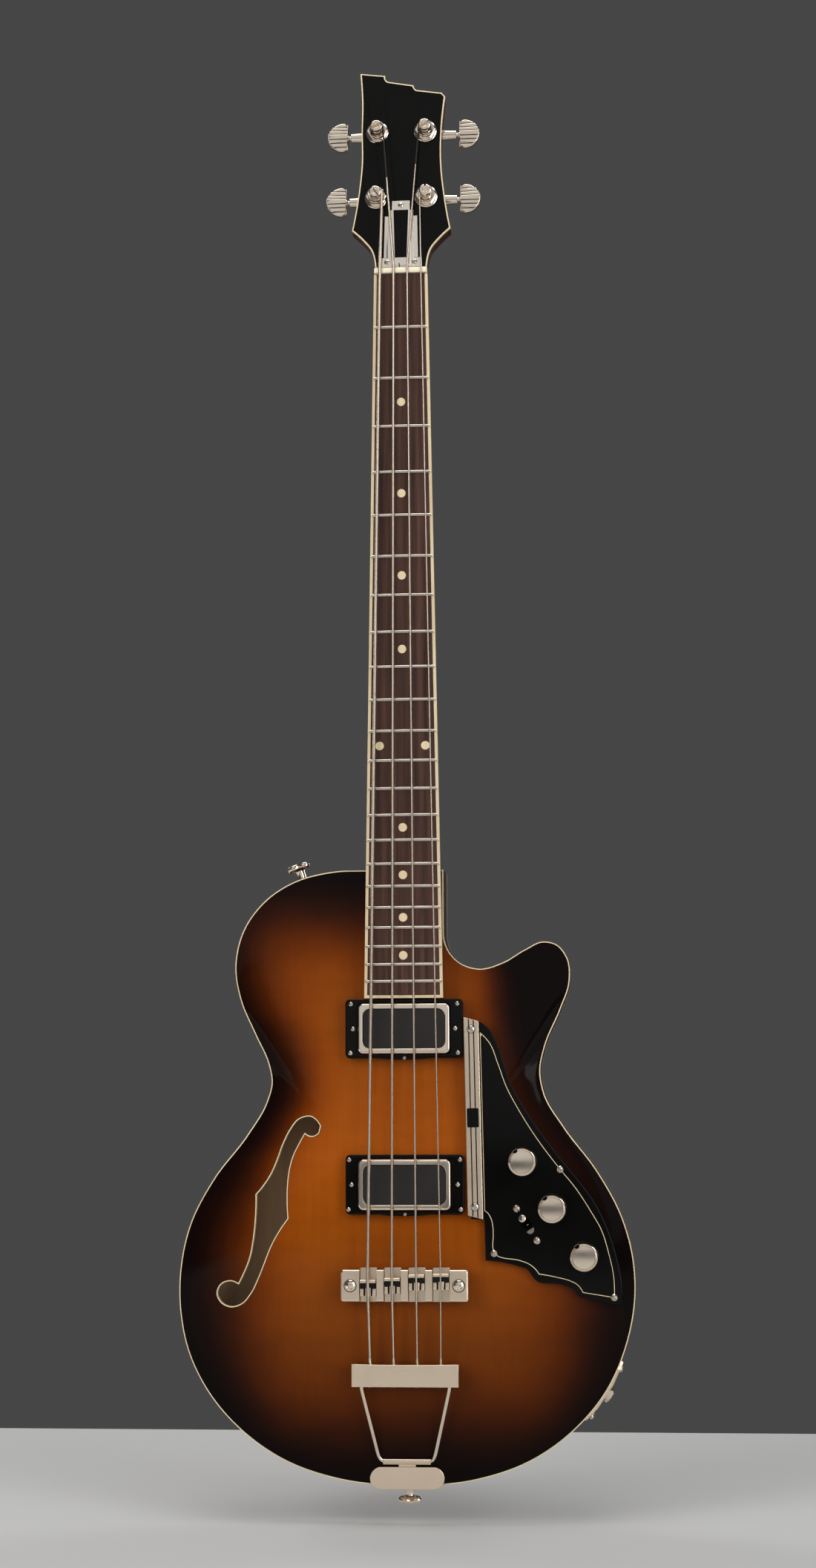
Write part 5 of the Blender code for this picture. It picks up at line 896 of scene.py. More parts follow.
# A fret's section is a half ellipse on a short foot, swept along the camber
def fretShape(number):
    z = float(fretZ(number))
    half = boardHalf(z) - 0.0005
    x = np.concatenate([[-half], np.linspace(-half + 0.0004, half - 0.0004, 21), [half]])
    lift = np.concatenate([[0.35], np.ones(21), [0.35]])
    t = np.linspace(0, math.pi, 9)
    reach = neckSet["fretWidth"] / 2
    section = np.stack([np.cos(t) * reach, np.sin(t) * neckSet["fretHeight"]], axis=1)
    section = np.concatenate([[(reach, -0.0004)], section, [(-reach, -0.0004)]])
    rings = np.empty((len(x), len(section), 3))
    rings[:, :, 0] = x[:, None]
    rings[:, :, 1] = camber(x)[:, None] - section[None, :, 1] * lift[:, None]
    rings[:, :, 2] = z + section[None, :, 0]
    return ringShape(rings)


def dotShape(number, x):
    lean = spun(math.asin(x / neckSet["radius"]))
    at = shift(x, float(camber(x)), betweenFrets(number)) @ lean @ atFront(0, 0, 0)
    return lathe(at, [(neckSet["dot"] * share, height) for share, height in neckSet["dotDome"]], 40)


def sideDotShape(number, shifted):
    z = betweenFrets(number) + shifted
    at = shift(-float(boardHalf(z)), 0.0036, z) @ spun(-math.pi / 2, "Y")
    return lathe(at, [(neckSet["sideDot"] * share, height) for share, height in neckSet["sideDome"]], 20)


piece("fret_wires", [fretShape(number + 1) for number in range(neckSet["frets"])], steelLook)
piece("fret_markers", [dotShape(*place) for place in neckSet["dots"]], creamLook)
piece("side_markers", [sideDotShape(*place) for place in neckSet["sideDots"]], blackLook)
print("stage: neck")


# Truss rod cover: a base plate with two screws, three stepped levels and a plain black inlay
coverSet = {
    "thick": 0.0022,
    "start": 0.0058,
    "base": (0.01675, 0.0080),
    "levels": ((0.0138, 0.0432), (0.0106, 0.0479), (0.0079, 0.0556)),
    "rise": 0.0006,
    "window": (0.0059, 0.0047, 0.0075, 0.0478),
    "lift": 0.0003,
    "screws": ((-0.0108, 0.0040, 0.0022), (0.0108, 0.0040, 0.0022), (0, 0.0518, 0.0030)),
    "screw": (0.0023, 0.0009),
}
coverFrame = onHead(0, coverSet["start"], coverSet["lift"])
coverThick = coverSet["thick"]
half, height = coverSet["base"]
base = np.array([(-half, 0), (half, 0), (half, height), (-half, height)])
coverShapes = [pad(coverFrame, base, coverThick, 0.0004)]
for level, (wide, high) in enumerate(coverSet["levels"]):
    narrow = wide - 0.0008
    loop = np.array([(-wide, 0.001), (wide, 0.001), (narrow, high), (-narrow, high)])
    coverShapes.append(pad(coverFrame, loop, coverThick - 0.0004 + coverSet["rise"] * level, 0.00025))
topHalf, lowHalf, low, high = coverSet["window"]
window = np.array([(-lowHalf, low), (lowHalf, low), (topHalf, high), (-topHalf, high)])
opening = pad(coverFrame @ shift(0, 0, -0.01), window, 0.02, 0.0001)
cover = piece("rod_cover", coverShapes, coverLook, stands="truss_cover")
carve(cover, [opening], overlaps=True)
smoothed(cover, 30)
inlay = pad(coverFrame, inset(window, 0.0002), coverThick + 0.0002, 0.0003)
piece("rod_cover_inlay", inlay, blackLook, stands="truss_cover_inlay")
coverScrews = []
for i, place in enumerate(coverSet["screws"]):
    coverScrews.append(screw(coverFrame @ shift(*place), *coverSet["screw"], 0.4 + i))
piece("rod_cover_screws", coverScrews, steelLook)
print("stage: rod cover")


# Tuners. The button is a stack of half-moons: reach = x + r (0.22 + 0.78 cos t), cut off above and below
tunerSet = {
    "post": 0.0047,
    "waist": 0.0036,
    "height": 0.0135,
    "slot": (0.0016, 0.0120, 0.0070),
    "slotTurn": {"e": 36, "a": -61, "d": -55, "g": 0},
    "bushing": (
        (0.0051, 0.0), (0.0051, 0.0046), (0.0054, 0.0049), (0.0058, 0.0049), (0.0062, 0.0045),
        (0.0062, 0.0),
    ),
    "washer": (
        (0.0060, 0.0003), (0.0091, 0.0003), (0.0091, 0.0006), (0.0088, 0.0009), (0.0077, 0.0014),
        (0.0060, 0.0016),
    ),
    "hex": (0.0145, 0.0010, 0.0042),
    "screw": (0.0014, 0.0006),
    "screwReach": 0.0130,
    "offset": 0.0068,
    "wormDepth": 0.0065,
    "housing": (0.0200, 0.0225, 0.0125),
    "lug": 0.0014,
    "buttonHeight": 0.0246,
    "reach": 0.0158,
    "buttonThick": 0.0085,
    "buttonX": 0.0262,
    "shaft": 0.0017,
    # How much of the half-moon's height is left, its share of the thickness, and its round edge
    "steps": ((1.0, 0.58, 0.0011), (0.70, 0.76, 0.0007), (0.42, 0.90, 0.0006), (0.17, 1.0, 0.0006)),
}
moonTurn = Matrix(((0, 0, 1, 0), (1, 0, 0, 0), (0, 1, 0, 0), (0, 0, 0, 1)))
caseBack = headBack - gap
moonHalf, moonReach, moonStart = tunerSet["buttonHeight"] / 2, tunerSet["reach"], tunerSet["buttonX"]


def moonLoop(limit):
    t = math.asin(min(limit, 0.9999)) * np.linspace(1, -1, 33)
    moon = np.stack([moonHalf * np.sin(t), moonStart + moonReach * (0.22 + 0.78 * np.cos(t))], axis=1)
    foot = [(-moonHalf * limit * 0.9, moonStart), (moonHalf * limit * 0.9, moonStart)]
    return np.concatenate([foot, moon])


def hexShape(at, width, low, high, trim=0.00045):
    corner = width / 2 / math.cos(math.pi / 6)
    loop = circle(corner, steps=6)
    top = raised(loop * (1 - trim / corner), high)
    return ringShape([raised(loop, low), raised(loop, high - trim * 0.6), top], at)


def tunerCase(string, at, axis):
    width, height, depth = tunerSet["housing"]
    lift, lug = tunerSet["offset"] * 0.35, tunerSet["lug"]
    boxLoop, lugLoop = roundBox(width, height, 0.0032, 6), roundBox(width * 0.98, height + 0.0060, 0.0030, 5)
    shapes = [pad(at @ shift(0, lift, caseBack - depth), boxLoop, depth, 0.0008, 0.0024, 6)]
    shapes.append(pad(at @ shift(0, lift, caseBack - lug), lugLoop, lug, 0.0003, 0.0005))
    shapes.append(lathe(at, tunerSet["bushing"], 40))
    shapes.append(lathe(at, tunerSet["washer"], 56))
    shapes.append(hexShape(at, *tunerSet["hex"]))
    start, end = width / 2 - 0.001, moonStart - 0.0030
    run = np.linspace(0, 1, 9)
    taper = np.stack([0.0048 - 0.0010 * run**0.6, start + (end - start) * run], axis=1)
    sleeve = [(0, start), *taper, (0.0033, end + 0.0003), (0.0019, end + 0.0003), (0, end)]
    shapes.append(lathe(axis, sleeve))
    piece(f"tuner_case_{string}", shapes, nickelLook, stands=f"tuner_housing_{string}", sharp=32)


def tunerPost(string, at):
    top, post, waist = tunerSet["height"], tunerSet["post"], tunerSet["waist"]
    profile = [
        (0.0, top - 0.0003), (post * 0.40, top - 0.0003), (post * 0.46, top), (post - 0.0007, top),
        (post - 0.0002, top - 0.0003), (post, top - 0.0008), (post, top - 0.0020),
        (post - 0.0001, top - 0.0024), (waist + 0.0003, top - 0.0038), (waist, top - 0.0044),
        (waist, top - 0.0070), (waist + 0.0003, top - 0.0076), (post - 0.0001, 0.0055), (post, 0.0051),
        (post, caseBack + 0.001), (0.0034, caseBack), (0.0034, caseBack - 0.004),
        (0.0043, caseBack - 0.0041), (0.0043, caseBack - 0.0108), (0.0, caseBack - 0.0108),
    ]
    long, wide, deep = tunerSet["slot"]
    turned = at @ spun(math.radians(tunerSet["slotTurn"][string])) @ shift(0, 0, top - deep / 2)
    cut = pad(turned, roundBox(long, wide, 0.0004, 3), deep, 0.0001)
    name, body, node = f"winding_post_{string}", f"post_{string}", f"tuner_post_{string}"
    piece(name, lathe(at, profile, 48), nickelLook, body, node, sharp=32, holes=[cut])


def tunerButton(string, axis):
    s, x0, end = tunerSet["shaft"], moonStart, tunerSet["housing"][0] / 2 - 0.0025
    stem = [(0.0, x0 + 0.006), (s * 1.5, x0 + 0.006), (s * 1.5, x0 - 0.0004), (s * 1.25, x0 - 0.0010)]
    stem += [(s, x0 - 0.0013), (s, end), (0.0022, end), (0.0022, -end), (0.0, -end)]
    shapes, lines = [lathe(axis, stem, 28)], []
    for limit, share, edge in tunerSet["steps"]:
        thick = tunerSet["buttonThick"] * share
        shapes.append(pad(axis @ moonTurn @ shift(0, 0, -thick / 2), moonLoop(limit), thick, edge, edge, 4))
    # Painted shadow: a dark line on either side of each narrower half-moon, at the foot of its step
    for (_, share, _), (limit, _, _) in zip(tunerSet["steps"], tunerSet["steps"][1:]):
        thick = tunerSet["buttonThick"] * share + 0.0004
        high = moonHalf * limit
        far = x0 + moonReach * (0.22 + 0.78 * math.sqrt(1 - limit**2)) - 0.0009
        for down in (-1, 1):
            low, top = sorted((down * (high - 0.0002), down * (high + 0.00045)))
            loop = np.array([(low, x0 + 0.0003), (top, x0 + 0.0003), (top, far), (low, far)])
            lines.append(pad(axis @ moonTurn @ shift(0, 0, -thick / 2), loop, thick, 0.0001, 0.0001))
    body = f"button_{string}"
    piece(f"button_plate_{string}", shapes, nickelLook, body, f"tuner_button_{string}", sharp=40)
    piece(f"button_shadow_lines_{string}", lines, satinLook, body)


caseScrews = []
for string, (x, v) in tunerPlaces.items():
    at = onHead(x, v)
    side = 1 if x > 0 else -1
    axis = at @ shift(0, tunerSet["offset"], caseBack - tunerSet["wormDepth"]) @ spun(side * math.pi / 2, "Y")
    tunerCase(string, at, axis)
    tunerPost(string, at)
    tunerButton(string, axis)
    for down in (-1, 1):
        reach = tunerSet["offset"] * 0.35 + down * tunerSet["screwReach"]
        spot = at @ shift(0, reach, caseBack - tunerSet["lug"]) @ spun(math.pi, "X")
        caseScrews.append(screw(spot, *tunerSet["screw"], down + v * 90))
piece("tuner_screws", caseScrews, steelLook)
print("stage: tuners")


# Strings: straight from the tailpiece over saddle and nut, then a helix about the post
stringSet = {
    "diameters": (0.0025, 0.0020, 0.0016, 0.0012),
    "nutSpread": 0.0323,
    "bridgeSpread": 0.0548,
    "tailSpread": 0.0534,
    "nutAction": 0.0018,
    "bridgeAction": 0.0047,
    "setBack": (0.0077, 0.0061, 0.0036, 0.0030),
    "tailTop": -0.84405,
    "tailY": 0.0045,
    "ballZ": -0.85935,
    "ball": (
        (0.0008, -0.0019), (0.0024, -0.0019), (0.0026, -0.0016), (0.0026, 0.0016), (0.0024, 0.0019),
        (0.0008, 0.0019),
    ),
    "turns": 1.6,
    "silk": 0.62,
}
radii = [diameter / 2 for diameter in stringSet["diameters"]]
crests = [-scale - back for back in stringSet["setBack"]]
tailXs = [stringSet["tailSpread"] * (index / 3 - 0.5) for index in range(4)]
tailY = stringSet["tailY"]


def between(low, high, z):
    return stringSet[low] + (stringSet[high] - stringSet[low]) * -z / scale


def stringX(index, z):
    return between("nutSpread", "bridgeSpread", z) * (index / 3 - 0.5)


def stringY(index, z):
    return float(camber(stringX(index, z))) - between("nutAction", "bridgeAction", z) - radii[index]


def stringCorners(index):
    tail = [(tailXs[index], tailY, z) for z in (stringSet["ballZ"] - 0.0004, stringSet["tailTop"] + 0.001)]
    x, y, crest = stringX(index, 0), stringY(index, 0), crests[index]
    saddleTop = (stringX(index, crest), stringY(index, crest), crest)
    return np.array([*tail, saddleTop, (x, y, gap), (x, y + 0.0002, neckSet["nut"])])


def stringHelix(index, string):
    x, v = tunerPlaces[string]
    side = 1 if x > 0 else -1
    t = np.linspace(0, 1, 65)
    angle = (0.0 if side < 0 else math.pi) - side * 2 * math.pi * stringSet["turns"] * t
    wrap = tunerSet["waist"] + radii[index] + seatGap
    level = tunerSet["height"] - 0.0057 + (0.5 - t) * 0.0012
    helix = np.column_stack([wrap * np.cos(angle), wrap * np.sin(angle), level])
    return placed((helix, None), onHead(x, v))[0]


# Each corner becomes a short curve: p(t) = a (1 - t)^2 + 2 b t (1 - t) + c t^2
def withCorners(corners, bend):
    path = [corners[0]]
    for before, here, after in zip(corners[:-2], corners[1:-1], corners[2:]):
        start = here + (before - here) * min(0.45, bend / np.linalg.norm(before - here))
        end = here + (after - here) * min(0.45, bend / np.linalg.norm(after - here))
        t = np.linspace(0, 1, 6)[:, None]
        path += list(start * (1 - t) ** 2 + 2 * here * t * (1 - t) + end * t**2)
    return np.array([*path, corners[-1]])


for index, string in enumerate(tunerPlaces):
    helix = stringHelix(index, string)
    path = np.concatenate([withCorners([*stringCorners(index), helix[0]], 0.0012), helix[1:]])
    at = shift(tailXs[index], tailY, stringSet["ballZ"]) @ spun(math.pi / 2, "Y")
    ball = lathe(at, stringSet["ball"], 24)
    thickness = np.where(path[:, 2] > silkStarts[string], radii[index] * stringSet["silk"], radii[index])
    look = silkLooks.get(string, stringLook)
    piece(f"wound_{string}", [tube(path, thickness, 14), ball], look, stands=f"string_{string}", sharp=60)
print("stage: strings")


# Nut: a rounded crown over the board's camber, with a groove for each string
nutSet = {
    "along": (0.0003, 0.0006, 0.0011, 0.0018, 0.0030, 0.0041, 0.0047, 0.0050),
    "fall": (0.0007, 0.0003, 0.00008, 0.0, 0.00025, 0.0006, 0.0010, 0.0017),
    "over": 0.0021,
}
half = float(boardHalf(0)) - gap
x = half * np.concatenate([[-1.0], np.linspace(-0.985, 0.985, 31), [1.0]])
crown = camber(x) - nutSet["over"] + 0.0004 * (np.abs(x) > half * 0.99)
nutRings, grooves = [], []
for z, fall in zip(nutSet["along"], nutSet["fall"]):
    front = np.column_stack([x, crown + fall, np.full(len(x), z)])
    nutRings.append(np.concatenate([front, [(half, boardThick, z), (-half, boardThick, z)]]))
for index in range(4):
    r = radii[index] + 0.0001
    t = np.linspace(0, math.pi, 13)
    halfRound = np.column_stack([np.cos(t) * r, np.sin(t) * r])
    groove = np.concatenate([halfRound, [(-r * 1.15, -0.004), (r * 1.15, -0.004)]])
    at = shift(stringX(index, 0), stringY(index, 0), 0)
    grooves.append(ringShape([raised(groove, -0.004), raised(groove, 0.012)], at))
piece("nut_bone", ringShape(nutRings), boneLook, stands="nut", holes=grooves, sharp=35)


# Pickups: a moulded surround on the arch, and a metal cover round a black coil face
pickupSet = {
    "surround": (0.0900, 0.0450, 0.0035),
    "front": 0.0042,
    "tab": (0.0190, 0.0020),
    "cover": (0.0703, 0.0381, 0.0040),
    "coverFront": 0.0008,
    "coverDepth": 0.0165,
    "window": (0.0628, 0.0303, 0.0060),
    "wall": 0.0010,
    "coreRear": 0.0200,
    "screw": 0.00175,
    "screws": {
        "neck": ((0.0408, 0.0188), (0.0411, -0.0185), (0.0392, -0.0001)),
        "bridge": ((0.0422, 0.0187), (0.0427, -0.0186), (0.0404, 0.0)),
    },
    "tabScrew": 0.0222,
}
pickupFront = pickupSet["front"]


# Pairs (way inwards, depth) down over a rounded edge, or back up over one
def edgeSteps(radius, depth, steps=4):
    return [(way, depth + fall) for way, fall in arc(radius, steps)]


def onLoop(loop, steps, sign=1):
    return [upright(inset(loop, sign * way), depth) for way, depth in steps]


def restingOn(loop):
    return topY(loop[:, 0], loop[:, 1]) - seatGap


def surround(name, z):
    width, height, radius = pickupSet["surround"]
    coverWide, coverHigh, corner = pickupSet["cover"]
    outer = roundBox(width, height, radius, 8, (0, z))
    inner = roundBox(coverWide + 0.0012, coverHigh + 0.0012, corner, 8, (0, z))
    rings = onLoop(outer, [(0.0, restingOn(outer)), *edgeSteps(0.0009, pickupFront)])
    rings += onLoop(inner, [*edgeSteps(0.0005, pickupFront)[::-1], (0.0, restingOn(inner))], -1)
    t = np.linspace(0, math.pi, 25)
    long, drop = pickupSet["tab"]
    foot = z - height / 2
    flare = np.stack([long * np.cos(t), -drop * np.sin(t) ** 0.55], axis=1) + (0, foot + 0.0010)
    tab = anticlockwise(np.concatenate([flare, [(-long, foot + 0.0030), (long, foot + 0.0030)]]))
    tabRings = [upright(tab, restingOn(tab))]
    tabRings += onLoop(tab, [(way * 0.6, depth) for way, depth in edgeSteps(0.0007, pickupFront + 0.0006)])
    shapes = [ringShape(rings, closed=True), ringShape(tabRings)]
    piece(f"{name}_surround", shapes, blackLook, stands=f"{name}_pickup_surround", sharp=32)


def coverPiece(name, z):
    shell, window = (roundBox(*pickupSet[key], 8, (0, z)) for key in ("cover", "window"))
    front, wall = pickupSet["coverFront"], pickupSet["wall"]
    rear, inside = front + pickupSet["coverDepth"], front + wall
    rings = onLoop(shell, [(wall, rear), (0.0, rear), *edgeSteps(0.0014, front, 6)])
    rings += onLoop(window, [*edgeSteps(0.0006, front)[::-1], (0.0, inside)], -1)
    rings += onLoop(shell, [(wall, inside)])
    body = f"{name}_pickup"
    piece(f"{name}_cover", ringShape(rings, closed=True), nickelLook, body, f"{name}_pickup_cover", sharp=40)
    face = inset(window, 0.0003)
    core = onLoop(inset(shell, wall + 0.0003), [(0.0, pickupSet["coreRear"]), (0.0, inside + 0.0003)])
    core += onLoop(face, [(0.0, inside + 0.0003), *edgeSteps(0.0004, front + 0.0005)])
    piece(f"{name}_coil_face", ringShape(core), coilLook, body, f"{name}_pickup_core")


surroundScrews = []
for name, z in pickupPlaces.items():
    surround(name, z)
    coverPiece(name, z)
    for i, (x, dz) in enumerate(pickupSet["screws"][name]):
        for side in (-1, 1):
            at = atFront(side * x, pickupFront, z + dz)
            surroundScrews.append(screw(at, pickupSet["screw"], 0.0009, 0.5 + i * side))
    at = atFront(0.0002, pickupFront + 0.0002, z - pickupSet["tabScrew"])
    surroundScrews.append(screw(at, 0.0014, 0.0008, 0.2))
piece("surround_screws", surroundScrews, steelLook)
print("stage: pickups")


# Pickguard: a bevelled plate, tilted with the fall of the top, on three standoffs
guardSet = {
    "thick": 0.0025,
    "tilt": math.radians(3.0),
    "edge": (0.0500, 0.0050),
    "bevel": 0.0011,
    "screw": (0.0027, 0.0013),
    "switchScrew": (0.0027, 0.0012),
    "outline": (
        ((0.0570, -0.5880),),
        (
            (0.0646, -0.5937), (0.0702, -0.6039), (0.0746, -0.6160), (0.0812, -0.6359), (0.0912, -0.6538),
            (0.1011, -0.6689), (0.1188, -0.6928), (0.1307, -0.7072), (0.1424, -0.7232), (0.1570, -0.7568),
            (0.1607, -0.7714), (0.1629, -0.7859), (0.1622, -0.8017),
        ),
        ((0.1307, -0.7947),),
        (
            (0.1238, -0.7876), (0.1169, -0.7854), (0.0980, -0.7822), (0.0950, -0.7783), (0.0921, -0.7745),
            (0.0861, -0.7723), (0.0607, -0.7679),
        ),
        ((0.0600, -0.7370),),
        ((0.0500, -0.7370),),
        ((0.0500, -0.5880),),
    ),
    "line": (
        (
            (0.0645, -0.6038), (0.0714, -0.6207), (0.0772, -0.6370), (0.0872, -0.6560), (0.1010, -0.6778),
            (0.1176, -0.6998), (0.1286, -0.7133), (0.1401, -0.7310), (0.1483, -0.7458), (0.1531, -0.7618),
            (0.1567, -0.7793), (0.1571, -0.7952),
        ),
        ((0.1336, -0.7914),),
        ((0.1298, -0.7859), (0.1239, -0.7827), (0.1149, -0.7803), (0.1008, -0.7777)),
        ((0.0980, -0.7739), (0.0931, -0.7701), (0.0862, -0.7676), (0.0697, -0.7641), (0.0672, -0.7624)),
        ((0.0663, -0.7577), (0.0667, -0.7486), (0.0663, -0.7413), (0.0649, -0.7359), (0.0627, -0.7322)),
        ((0.0604, -0.7306),),
        ((0.0580, -0.5968),),
    ),
    "lineWidth": 0.00048,
    "screws": ((0.0672, -0.7624), (0.1176, -0.6998), (0.1571, -0.7952)),
    "standoff": 0.0032,
    "hole": 0.0046,
    "slot": (0.0150, 0.0062),
}
guardX, guardY = guardSet["edge"]
guardThick, guardTilt = guardSet["thick"], guardSet["tilt"]
guardFrame = shift(guardX, guardY + guardThick, 0) @ spun(guardTilt) @ atFront(0, 0, 0)


def guardFront(x):
    return guardY + (x - guardX) * math.tan(guardTilt)


def onGuard(loop):
    return np.stack([(loop[:, 0] - guardX) / math.cos(guardTilt), loop[:, 1]], axis=1)


def turnedLoop(loop, heading, middle):
    spin = np.array([[math.cos(heading), math.sin(heading)], [-math.sin(heading), math.cos(heading)]])
    return loop @ spin + middle


guardLoop = onGuard(loopOf(linked(guardSet["outline"]), 0.004, 6))
holeLoops = [circle(guardSet["hole"], place) for place in knobPlaces.values()]
slotLoop = roundBox(*guardSet["slot"], guardSet["slot"][1] * 0.49)
holeLoops.append(turnedLoop(slotLoop, switchHeading, switchMiddle))
drills = [pad(guardFrame @ shift(0, 0, -0.003), onGuard(loop), 0.01, 0.0001) for loop in holeLoops]
plate = pad(guardFrame, guardLoop, guardThick, guardSet["bevel"], steps=2)
piece("guard_plate", plate, blackLook, stands="pickguard", holes=drills, sharp=24)
# Pinstripe: a thin ribbon whose edges are the path moved half its width to either side
lineLoop = onGuard(loopOf(linked(guardSet["line"]), 0.003, 7))
ribbon = [
    raised(inset(lineLoop, side * guardSet["lineWidth"] / 2), guardThick + lift)
    for side, lift in ((-1, -0.0002), (-1, 0.00004), (1, 0.00004), (1, -0.0002))
]
piece("guard_line", ringShape(ribbon, guardFrame, closed=True), creamLook)
posts, guardScrews = [], []
for i, (x, z) in enumerate(guardSet["screws"]):
    foot, back, r = topUnder([x], z) - seatGap, guardFront(x) + guardThick + 0.0002, guardSet["standoff"]
    posts.append(lathe(atFront(x, 0, z), [(0.0, -back), (r, -back), (r, -foot), (0.0, -foot)], 28))
    guardScrews.append(screw(atFront(x, guardFront(x), z), *guardSet["screw"], 0.4 + i))
piece("guard_posts", posts, blackLook)
for i, (x, z) in enumerate(switchPlace["ends"]):
    guardScrews.append(screw(atFront(x, guardFront(x), z), *guardSet["switchScrew"], 0.9 - i))
piece("guard_screws", guardScrews, steelLook)
print("stage: pickguard")


# Metal strip: its section is three flats with two grooves, kept the same from end to end
stripSet = {
    "corners": ((0.0454, -0.5847), (0.0570, -0.5879), (0.0595, -0.7369), (0.0478, -0.7340)),
    "front": 0.0022,
    "thick": 0.0025,
    "grooves": (0.34, 0.66),
    "grooveWidth": 0.040,
    # Across a groove from its middle: the share of its half width, and the depth
    "groove": ((-1, 0.0), (-0.7, 0.00025), (-0.6, 0.0014), (0.6, 0.0014), (0.7, 0.00025), (1, 0.0)),
    # From either long side: the share of the width, and how far the front falls back there
    "side": ((0.0, 0.0007), (0.012, 0.0002), (0.04, 0.0)),
    "screw": (0.0026, 0.0008),
    "screws": ((0.0513, -0.5940), (0.0534, -0.7277)),
    "cup": ((0.0022, -0.0003), (0.0030, 0.00002), (0.0033, 0.00004), (0.0034, -0.0004)),
    "badge": ((0.0478, -0.6536), (0.0567, -0.6681)),
    # The ends are rounded: the share of the length, and how far the front falls back there
    "fall": ((0.0, 0.0005), (0.0008, 0.00015), (0.0025, 0.0)),
}
half, stripFront, stripThick = (stripSet[key] for key in ("grooveWidth", "front", "thick"))
profile = [(0.0, stripThick), *stripSet["side"]]
for groove in stripSet["grooves"]:
    profile += [(groove + half * share, deep) for share, deep in stripSet["groove"]]
profile += [(1 - share, fall) for share, fall in stripSet["side"][::-1]]
profile = np.array([*profile, (1.0, stripThick)])
topLeft, topRight, lowRight, lowLeft = np.array(stripSet["corners"])
falls = [*stripSet["fall"], *((share, 0.0) for share in np.linspace(0.05, 0.95, 19))]
falls += [(1 - share, fall) for share, fall in stripSet["fall"][::-1]]
stripRings = []
for share, fall in falls:
    left = topLeft + (lowLeft - topLeft) * share
    right = topRight + (lowRight - topRight) * share
    spots = left + (right - left) * profile[:, :1]
    depth = stripFront + np.minimum(profile[:, 1] + fall, stripThick)
    stripRings.append(np.column_stack([spots[:, 0], depth, spots[:, 1]]))
piece("trim_strip", ringShape(stripRings), satinNickelLook, stands="pickguard_strip", sharp=25)
# Painted shade: a dark strip along the bottom of each groove
grooveShadeShapes = []
for groove in stripSet["grooves"]:
    across = (groove + half * np.array([-0.55, 0.55]))[:, None]
    upper, lower = topLeft + (topRight - topLeft) * across, lowLeft + (lowRight - lowLeft) * across[::-1]
    loop = np.concatenate([upper - (0, 0.0004), lower + (0, 0.0004)])[::-1]
    grooveShadeShapes.append(pad(atFront(0, stripFront + 0.0016, 0), loop, 0.0009, 0.0001))
piece("strip_groove_shade", grooveShadeShapes, satinLook)
stripScrews = []
for i, (x, z) in enumerate(stripSet["screws"]):
    cup = lathe(atFront(x, stripFront, z), stripSet["cup"], 40)
    piece(f"strip_cup_{i}", cup, blackLook)
    stripScrews.append(screw(atFront(x, stripFront - 0.0001, z), *stripSet["screw"], 0.7 + i))
piece("strip_screws", stripScrews, steelLook)
(x0, z0), (x1, z1) = stripSet["badge"]
badge = turnedLoop(roundBox(x1 - x0, z0 - z1, 0.0009, 6), math.radians(1.0), ((x0 + x1) / 2, (z0 + z1) / 2))
piece("strip_badge", pad(atFront(0, stripFront + 0.0002, 0), badge, 0.0007), blackLook)
print("stage: strip")


# Knobs: a skirt, a straight side, a flat crown with two fine rings, and a dark bite in the crown's edge
knobSet = {
    "radius": 0.0111,
    "height": 0.0155,
    "shaft": 0.0030,
    "depth": 0.0250,
    "notch": 0.0021,
    "notchAt": 0.905,
    "notchTurn": math.radians(122),
    "notchFloor": 0.45,
    "lining": 0.0004,
    # Share of the radius, and the fall below the top
    "rings": (
        (0.775, 0.0005), (0.780, 0.0013), (0.815, 0.0014), (0.820, 0.0007), (0.850, 0.0008),
        (0.856, 0.0017), (0.890, 0.0018), (0.896, 0.0012), (0.925, 0.0014), (0.940, 0.0021),
    ),
    # Share of the radius, and of the height
    "skirt": ((0.948, 0.5), (0.955, 0.34), (0.970, 0.28), (0.992, 0.24), (1, 0.20)),
}
r, h, shaft, end = (knobSet[key] for key in ("radius", "height", "shaft", "depth"))
knobProfile = [(0.0, h)] + [(r * 0.76 * s, h - 0.0002 * s**2) for s in np.linspace(0, 1, 6)[1:]]
knobProfile += [(r * share, h - fall) for share, fall in knobSet["rings"]]
knobProfile += [(r * share, h * level) for share, level in knobSet["skirt"]]
knobProfile += [(r, 0.0004), (r - 0.0004, 0.0), (shaft, 0.0), (shaft, h - end), (0.0, h - end)]
bite, wall, low = knobSet["notch"], knobSet["notch"] - knobSet["lining"], h * knobSet["notchFloor"]
cut = [(0, low), (bite, low), (bite, h + 0.002), (0, h + 0.002)]
cup = [(0, low + 0.0006), (wall, low + 0.0006), (wall, h - 0.0016), (bite - 0.00005, h - 0.0016)]
cup += [(bite - 0.00005, low + 0.00005), (0, low + 0.00005)]
outside = [(r * 0.93, low - 0.001), (r * 1.5, low - 0.001), (r * 1.5, h + 0.001), (r * 0.93, h + 0.001)]
outside.append(outside[0])
for name, (x, z) in knobPlaces.items():
    at = atFront(x, guardFront(x) - r * math.tan(guardTilt) - 0.0006, z)
    spot = at @ spun(knobSet["notchTurn"]) @ shift(r * knobSet["notchAt"], 0, 0)
    body = f"knob_{name}_body"
    cap = lathe(at, knobProfile, 96)
    piece(f"knob_cap_{name}", cap, nickelLook, body, f"knob_{name}", sharp=22, holes=[lathe(spot, cut, 28)])
    mark, beyond = lathe(spot, cup, 28), lathe(at, outside, 96)
    piece(f"knob_mark_{name}", mark, blackLook, body, holes=[beyond])
print("stage: knobs")


